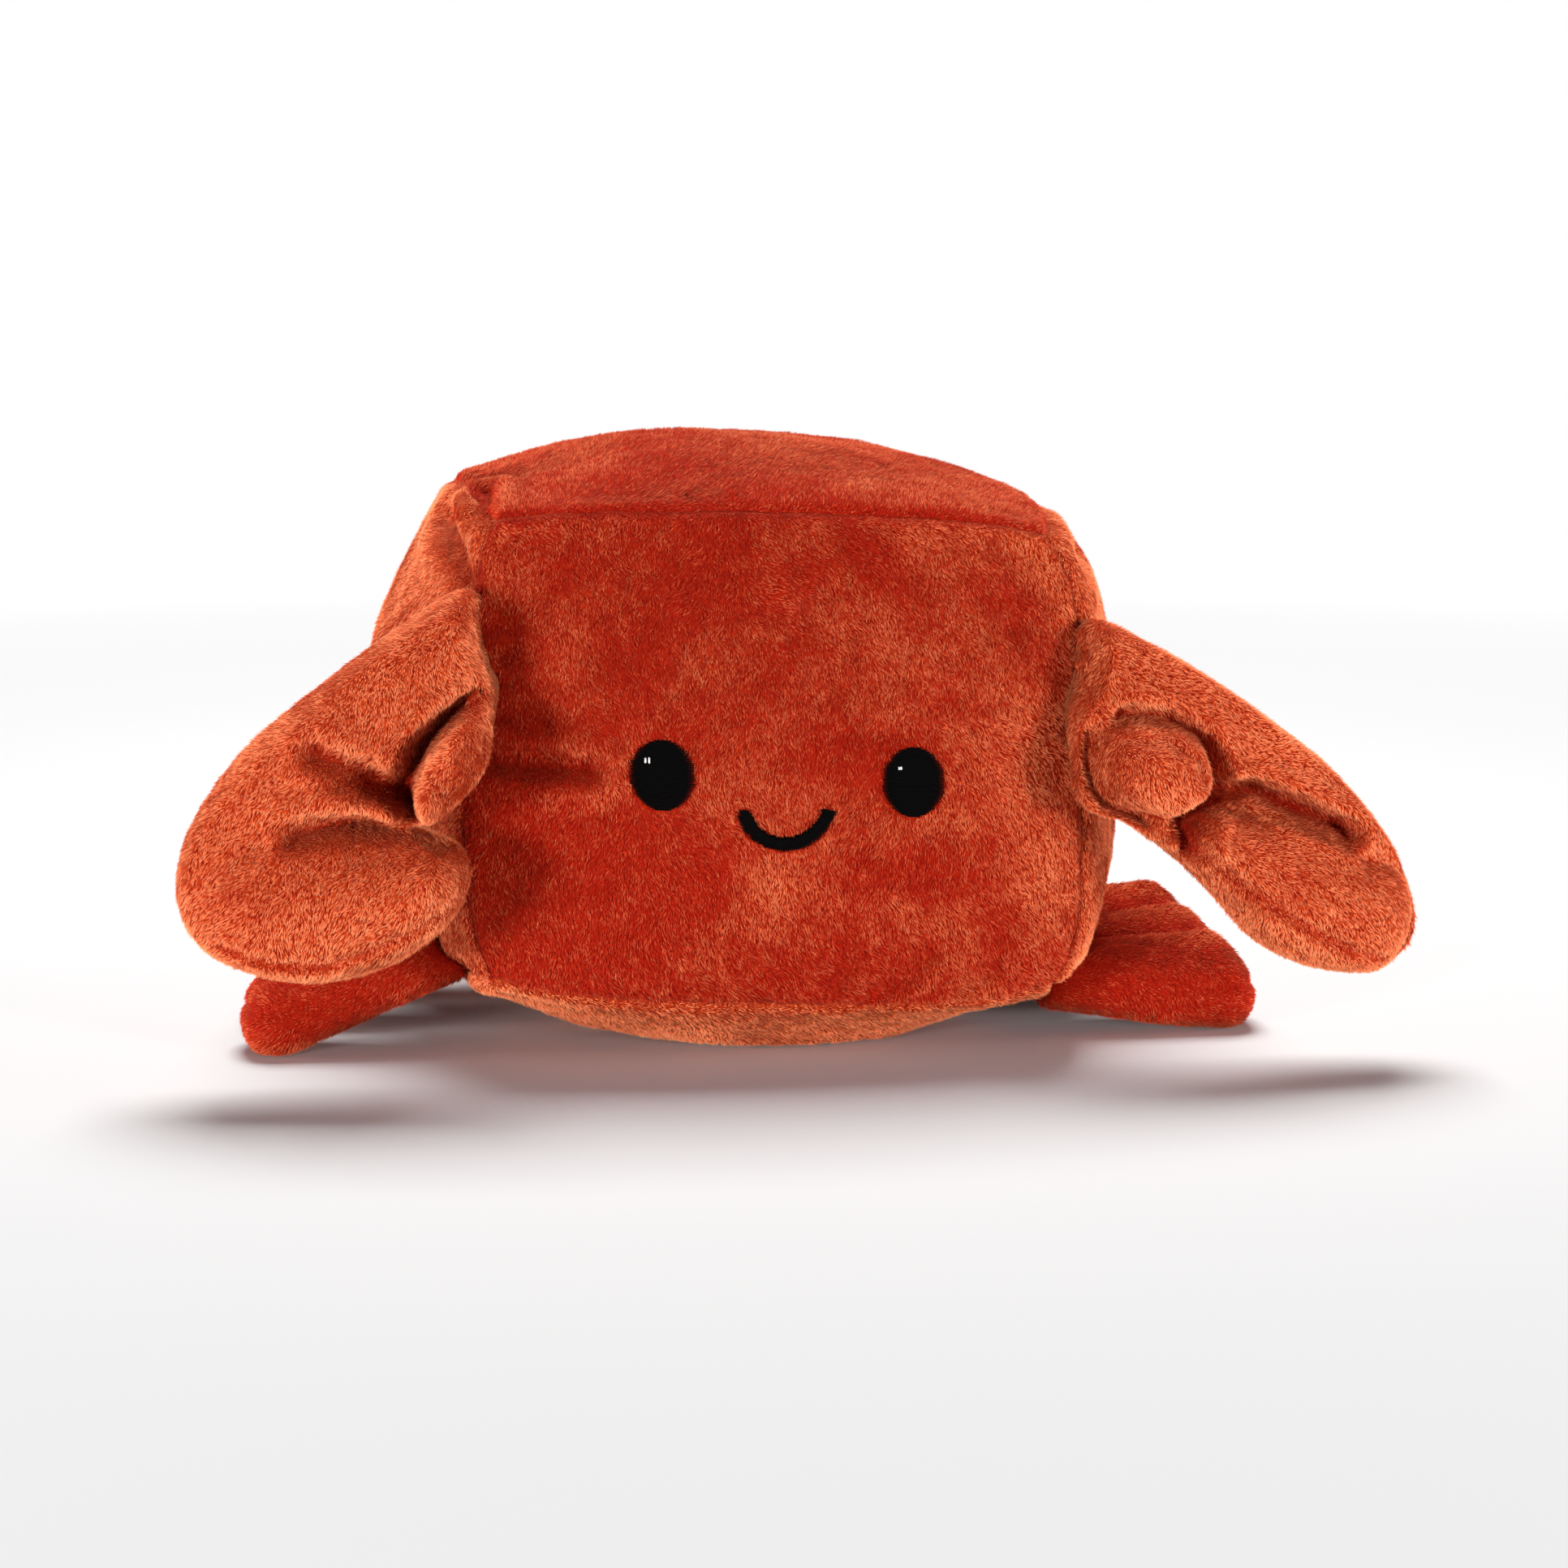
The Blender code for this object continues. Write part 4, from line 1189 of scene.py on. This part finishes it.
class CRAB_OT_eyes(bpy.types.Operator):
    """Stitches both eyes and their small white highlights"""

    bl_idname = "plush_crab.eyes"
    bl_label = "Eyes"

    def execute(self, context):
        sizes = context.scene.crab_sizes
        random = np.random.default_rng(SEEDS["eyes"])
        tree = tree_of(bpy.data.objects["body_cover"])
        pitch = sizes.thread_pitch
        for side, (x, z) in EYE_PLACES.items():
            rows = eye_rows((x, z), sizes.eye_width, sizes.eye_height, pitch, random)
            eye = stitch(tree, rows, pitch, THREAD_LIFT, THREAD_HEIGHT)
            finish_stitches(eye, f"{side}_eye_stitches", "black", f"{side}_eye")
            size = HIGHLIGHT_SIZES[side]
            spot = (x + HIGHLIGHT_SHIFT[0], z + HIGHLIGHT_SHIFT[1])
            count = max(2, round(size / HIGHLIGHT_PITCH))
            rows = []
            for i in range(count):
                across = spot[0] + size * ((i + 0.5) / count - 0.5)
                half = size * random.uniform(*HIGHLIGHT_HALF)
                rows.append(((across, spot[1] - half), (across, spot[1] + half), 1.0))
            glint = stitch(tree, rows, HIGHLIGHT_PITCH * HIGHLIGHT_STITCH,
                           THREAD_LIFT + THREAD_HEIGHT + pitch * 0.5, HIGHLIGHT_HEIGHT)
            finish_stitches(glint, f"{side}_eye_glint", "white", f"{side}_eye_highlight")
        return {"FINISHED"}


class CRAB_OT_mouth(bpy.types.Operator):
    """Stitches the smile"""

    bl_idname = "plush_crab.mouth"
    bl_label = "Smile"

    def execute(self, context):
        sizes = context.scene.crab_sizes
        rows = mouth_rows(sizes.mouth_stroke, sizes.thread_pitch,
                          np.random.default_rng(SEEDS["mouth"]))
        mouth = stitch(tree_of(bpy.data.objects["body_cover"]), rows, sizes.thread_pitch,
                       THREAD_LIFT, THREAD_HEIGHT)
        finish_stitches(mouth, "mouth_stitches", "black", "mouth")
        return {"FINISHED"}


# Pile

def stitched(places, sizes):
    """Which places on the front lie under the eyes or the smile."""
    flat = places[:, (0, 2)]
    under = np.zeros(len(places), dtype=bool)
    for centre in EYE_PLACES.values():
        halves = np.array((sizes.eye_width, sizes.eye_height)) / 2
        under |= np.linalg.norm((flat - centre) / halves, axis=1) < 1
    random = np.random.default_rng(SEEDS["mouth"])
    middle = [(np.array(a) + np.array(b)) / 2
              for a, b, _ in mouth_rows(sizes.mouth_stroke, SMILE_STEP, random)]
    under |= along_line(flat, middle)[0] < sizes.mouth_stroke / 2
    return under & (places[:, 1] < 0)


def tufts(cover, seed, sizes, share, panels=None):
    """The corners and the shade of each tuft grown on a cover, or on some of its panels."""
    mesh = cover.data
    mesh.calc_loop_triangles()
    corners = read(mesh.loop_triangles, "vertices", 3, np.int32)
    if panels is not None:
        owners = read(mesh.loop_triangles, "polygon_index", 1, np.int32)[:, 0]
        panel = read(mesh.attributes["panel"].data, "value", 1, np.int32)[:, 0]
        corners = corners[np.isin(panel[owners], panels)]
    points, normals = points_of(cover), normals_of(cover)
    a, b, c = (points[corners[:, i]] for i in range(3))
    reach = np.cumsum(np.linalg.norm(np.cross(b - a, c - a), axis=1) / 2)
    random = np.random.default_rng(seed)
    count = int(reach[-1] * 1e6 * sizes.density * share)
    picked = corners[np.minimum(np.searchsorted(reach, random.random(count) * reach[-1]),
                                len(corners) - 1)]
    weights = random.random((count, 2))
    folded = weights.sum(axis=1) > 1
    weights[folded] = 1 - weights[folded]
    weights = np.column_stack((1 - weights.sum(axis=1), weights))

    def blend(values):
        return np.einsum("nc,ncd->nd", weights, values[picked])

    kept_on = {name: data.data for name, data in mesh.attributes.items()}
    root, normal = blend(points), unit(blend(normals))
    shade = blend(read(kept_on["shade"], "value", 1))[:, 0]
    length = blend(read(kept_on["pile"], "value", 1))[:, 0]
    nap = blend(read(kept_on["nap"], "vector"))
    kept = ~stitched(root, sizes) if cover.name == "body_cover" else np.ones(count, dtype=bool)
    root, normal, shade, length, nap = (v[kept] for v in (root, normal, shade, length, nap))
    count = len(root)
    along = unit(nap - normal * np.sum(nap * normal, axis=1)[:, None])
    across = np.cross(normal, along)
    swirl = NAP_SWIRL * (2 * soft_noise(root, NAP_SWIRL_SIZE, SEEDS["swirl"]) - 1)
    swirl += NAP_CLUMP * (2 * soft_noise(root, NAP_CLUMP_SIZE, SEEDS["clumps"]) - 1)
    swirl = np.radians(swirl + random.normal(0, NAP_STRAY, count))[:, None]
    way = np.cos(swirl) * along + np.sin(swirl) * across
    lean = NAP_LEAN + NAP_LEAN_CLUMP * (2 * soft_noise(root, NAP_CLUMP_SIZE, SEEDS["lean"]) - 1)
    lean = np.minimum(lean + random.normal(0, NAP_LEAN_STRAY, count), NAP_LEAN_MOST)
    lean = np.radians(lean)[:, None]
    grown = np.cos(lean) * normal + np.sin(lean) * way
    length = sizes.pile_length * length * random.uniform(*LENGTH_STRAY, count)
    roll = np.radians(random.uniform(-NAP_ROLL, NAP_ROLL, count))[:, None]
    side = unit(np.cross(way, normal))
    side = np.cos(roll) * side + np.sin(roll) * np.cross(grown, side)
    side *= (sizes.tuft_width / 2 * random.uniform(*WIDTH_STRAY, count))[:, None]
    root = root - ROOT_SINK * normal
    tip = root + grown * length[:, None]
    made = np.stack((root - side, root + side, tip), 1)
    made[:, :, 2] = np.maximum(made[:, :, 2], FLOOR_GAP)
    strands = soft_noise(root * (1.0, 1.0, STRAND_STRETCH), STRAND_SIZE, SEEDS["strands"])
    shade = shade + STRAND_SHADE * (2 * strands - 1) + random.normal(0, SHADE_STRAY, count)
    return made, np.clip(shade, *TUFT_SHADE_RANGE)


def grow(name, grown, material):
    """One piece of pile from the corners and shades of its tufts."""
    corners = np.concatenate([made for made, _ in grown])
    shade = np.concatenate([shade for _, shade in grown])
    count = len(corners)
    mesh = bpy.data.meshes.new(name)
    mesh.vertices.add(3 * count)
    mesh.vertices.foreach_set("co", corners.ravel())
    mesh.loops.add(3 * count)
    mesh.loops.foreach_set("vertex_index", np.arange(3 * count, dtype=np.int32))
    mesh.polygons.add(count)
    mesh.polygons.foreach_set("loop_start", np.arange(0, 3 * count, 3, dtype=np.int32))
    mesh.update(calc_edges=True)
    across = shade[:, None] + np.array((-TUFT_MAP, TUFT_MAP, 0.0))
    up = np.broadcast_to(np.array(TUFT_MAP_ENDS), across.shape)
    mesh.uv_layers.new(name="OFBake").data.foreach_set("uv", np.stack((across, up), -1).ravel())
    thing = bpy.data.objects.new(name, mesh)
    bpy.context.collection.objects.link(thing)
    mesh.materials.append(material)
    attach(thing, "root")
    return thing


class CRAB_OT_pile(bpy.types.Operator):
    """Grows the pile on every cover"""

    bl_idname = "plush_crab.pile"
    bl_label = "Pile"

    def execute(self, context):
        sizes = context.scene.crab_sizes
        material = material_once("plush_pile", pile_material, context.scene.crab_colours)
        body = bpy.data.objects["body_cover"]
        for seed, (name, (share, panels)) in enumerate(BODY_PILE.items()):
            grow(name, [tufts(body, SEEDS["body pile"] + seed, sizes, share, panels)], material)
        for seed, side in enumerate(MIRROR):
            claw = bpy.data.objects[f"{side}_claw_cover"]
            grow(f"{side}_claw_pile",
                 [tufts(claw, SEEDS["claw pile"] + seed, sizes, CLAW_PILE)], material)
            legs = [bpy.data.objects[f"{side}_{place}_leg_cover"] for place in LEG_PLACES]
            first = SEEDS["leg pile"] + len(legs) * seed
            grow(f"{side}_leg_pile", [tufts(leg, first + i, sizes, LEG_PILE)
                                      for i, leg in enumerate(legs)], material)
        return {"FINISHED"}


# Stage

def look_from(azimuth, elevation, distance, aim):
    """A place round an aim, and the turn that looks at the aim from there."""
    a, e = math.radians(azimuth), math.radians(elevation)
    back = Vector((math.sin(a) * math.cos(e), -math.cos(a) * math.cos(e), math.sin(e)))
    return Vector(aim) + distance * back, back.to_track_quat("Z", "Y").to_euler()


class CRAB_OT_stage(bpy.types.Operator):
    """Sets up the floor, the soft lamps, the white surroundings and the camera"""

    bl_idname = "plush_crab.stage"
    bl_label = "Studio"

    def execute(self, context):
        deselect()
        bpy.ops.mesh.primitive_plane_add(size=FLOOR_SIZE)
        floor = context.object
        floor.name = "studio_floor"
        floor.data.materials.append(floor_material(context.scene.crab_colours.floor))
        for i, (azimuth, elevation, distance, side, power) in enumerate(LAMPS):
            place, turn = look_from(azimuth, elevation, distance, CAMERA_AIM)
            bpy.ops.object.light_add(type="AREA", location=place, rotation=turn)
            lamp = context.object
            lamp.name = f"studio_lamp_{i + 1}"
            lamp.data.size = side
            lamp.data.energy = power
        place, turn = look_from(CAMERA_AZIMUTH, CAMERA_ELEVATION, CAMERA_DISTANCE, CAMERA_AIM)
        bpy.ops.object.camera_add(location=place, rotation=turn)
        camera = context.object
        camera.data.lens = CAMERA_LENS
        camera.data.sensor_width = CAMERA_SENSOR
        context.scene.camera = camera
        context.scene.view_settings.view_transform = "Standard"
        white_surroundings(context.scene)
        return {"FINISHED"}


def floor_material(colour):
    """A pale floor that keeps shadows, and turns plain white for the camera further off."""
    make = Maker("studio_floor")
    seen = make.rays("Camera", "Glossy")
    far = make.node("ShaderNodeVectorMath", {"operation": "LENGTH"}, make.places(), output=1)
    lit = make.node("ShaderNodeBsdfDiffuse", {}, tuple(colour))
    lift = make.node("ShaderNodeEmission", {}, Strength=FLOOR_LIFT)
    near = make.node("ShaderNodeAddShader", {}, lit, lift)
    white = make.node("ShaderNodeEmission", {})
    shown = make.node("ShaderNodeMixShader", {}, far.clipped(*FLOOR_FADE), near, white)
    whole = make.node("ShaderNodeMixShader", {}, seen, lit, shown)
    return make.finish_with(whole, "Principled BSDF", "Material Output")


def white_surroundings(scene):
    """White where the camera, or a reflection, sees past the floor, and soft grey light."""
    scene.world = bpy.data.worlds.new("studio")
    make = Maker(scene.world)
    seen = make.rays("Camera", "Glossy", "Transmission")
    white = (1.0, 1.0, 1.0)
    soft = make.node("ShaderNodeBackground", {}, Color=white, Strength=WORLD_LIGHT)
    plain = make.node("ShaderNodeBackground", {}, Color=white)
    both = make.node("ShaderNodeMixShader", {}, seen, soft, plain)
    make.finish_with(both, "Background", "World Output")


class CRAB_PT_panel(bpy.types.Panel):
    """Sizes, colours and steps of the plush crab"""

    bl_idname = "CRAB_PT_panel"
    bl_label = "Plush Crab"
    bl_space_type = "VIEW_3D"
    bl_region_type = "UI"
    bl_category = "Plush Crab"

    def draw(self, context):
        for group in (context.scene.crab_sizes, context.scene.crab_colours):
            box = self.layout.box()
            for name in group.__annotations__:
                box.prop(group, name)
        for step in STEPS:
            self.layout.operator(step.bl_idname)


STEPS = (CRAB_OT_body, CRAB_OT_claws, CRAB_OT_legs, CRAB_OT_eyes, CRAB_OT_mouth,
         CRAB_OT_pile, CRAB_OT_stage)
CLASSES = (CrabSizes, CrabColours, *STEPS, CRAB_PT_panel)


def register():
    """Adds the crab's classes, sizes and colours to Blender."""
    for each in CLASSES:
        bpy.utils.register_class(each)
    bpy.types.Scene.crab_sizes = PointerProperty(type=CrabSizes)
    bpy.types.Scene.crab_colours = PointerProperty(type=CrabColours)


def unregister():
    """Takes them away again."""
    del bpy.types.Scene.crab_colours
    del bpy.types.Scene.crab_sizes
    for each in reversed(CLASSES):
        bpy.utils.unregister_class(each)


def main():
    """Makes every piece and the stage."""
    register()
    bpy.ops.plush_crab.body()
    bpy.ops.plush_crab.claws()
    bpy.ops.plush_crab.legs()
    bpy.ops.plush_crab.eyes()
    bpy.ops.plush_crab.mouth()
    bpy.ops.plush_crab.pile()
    bpy.ops.plush_crab.stage()


if __name__ == "__main__":
    main()
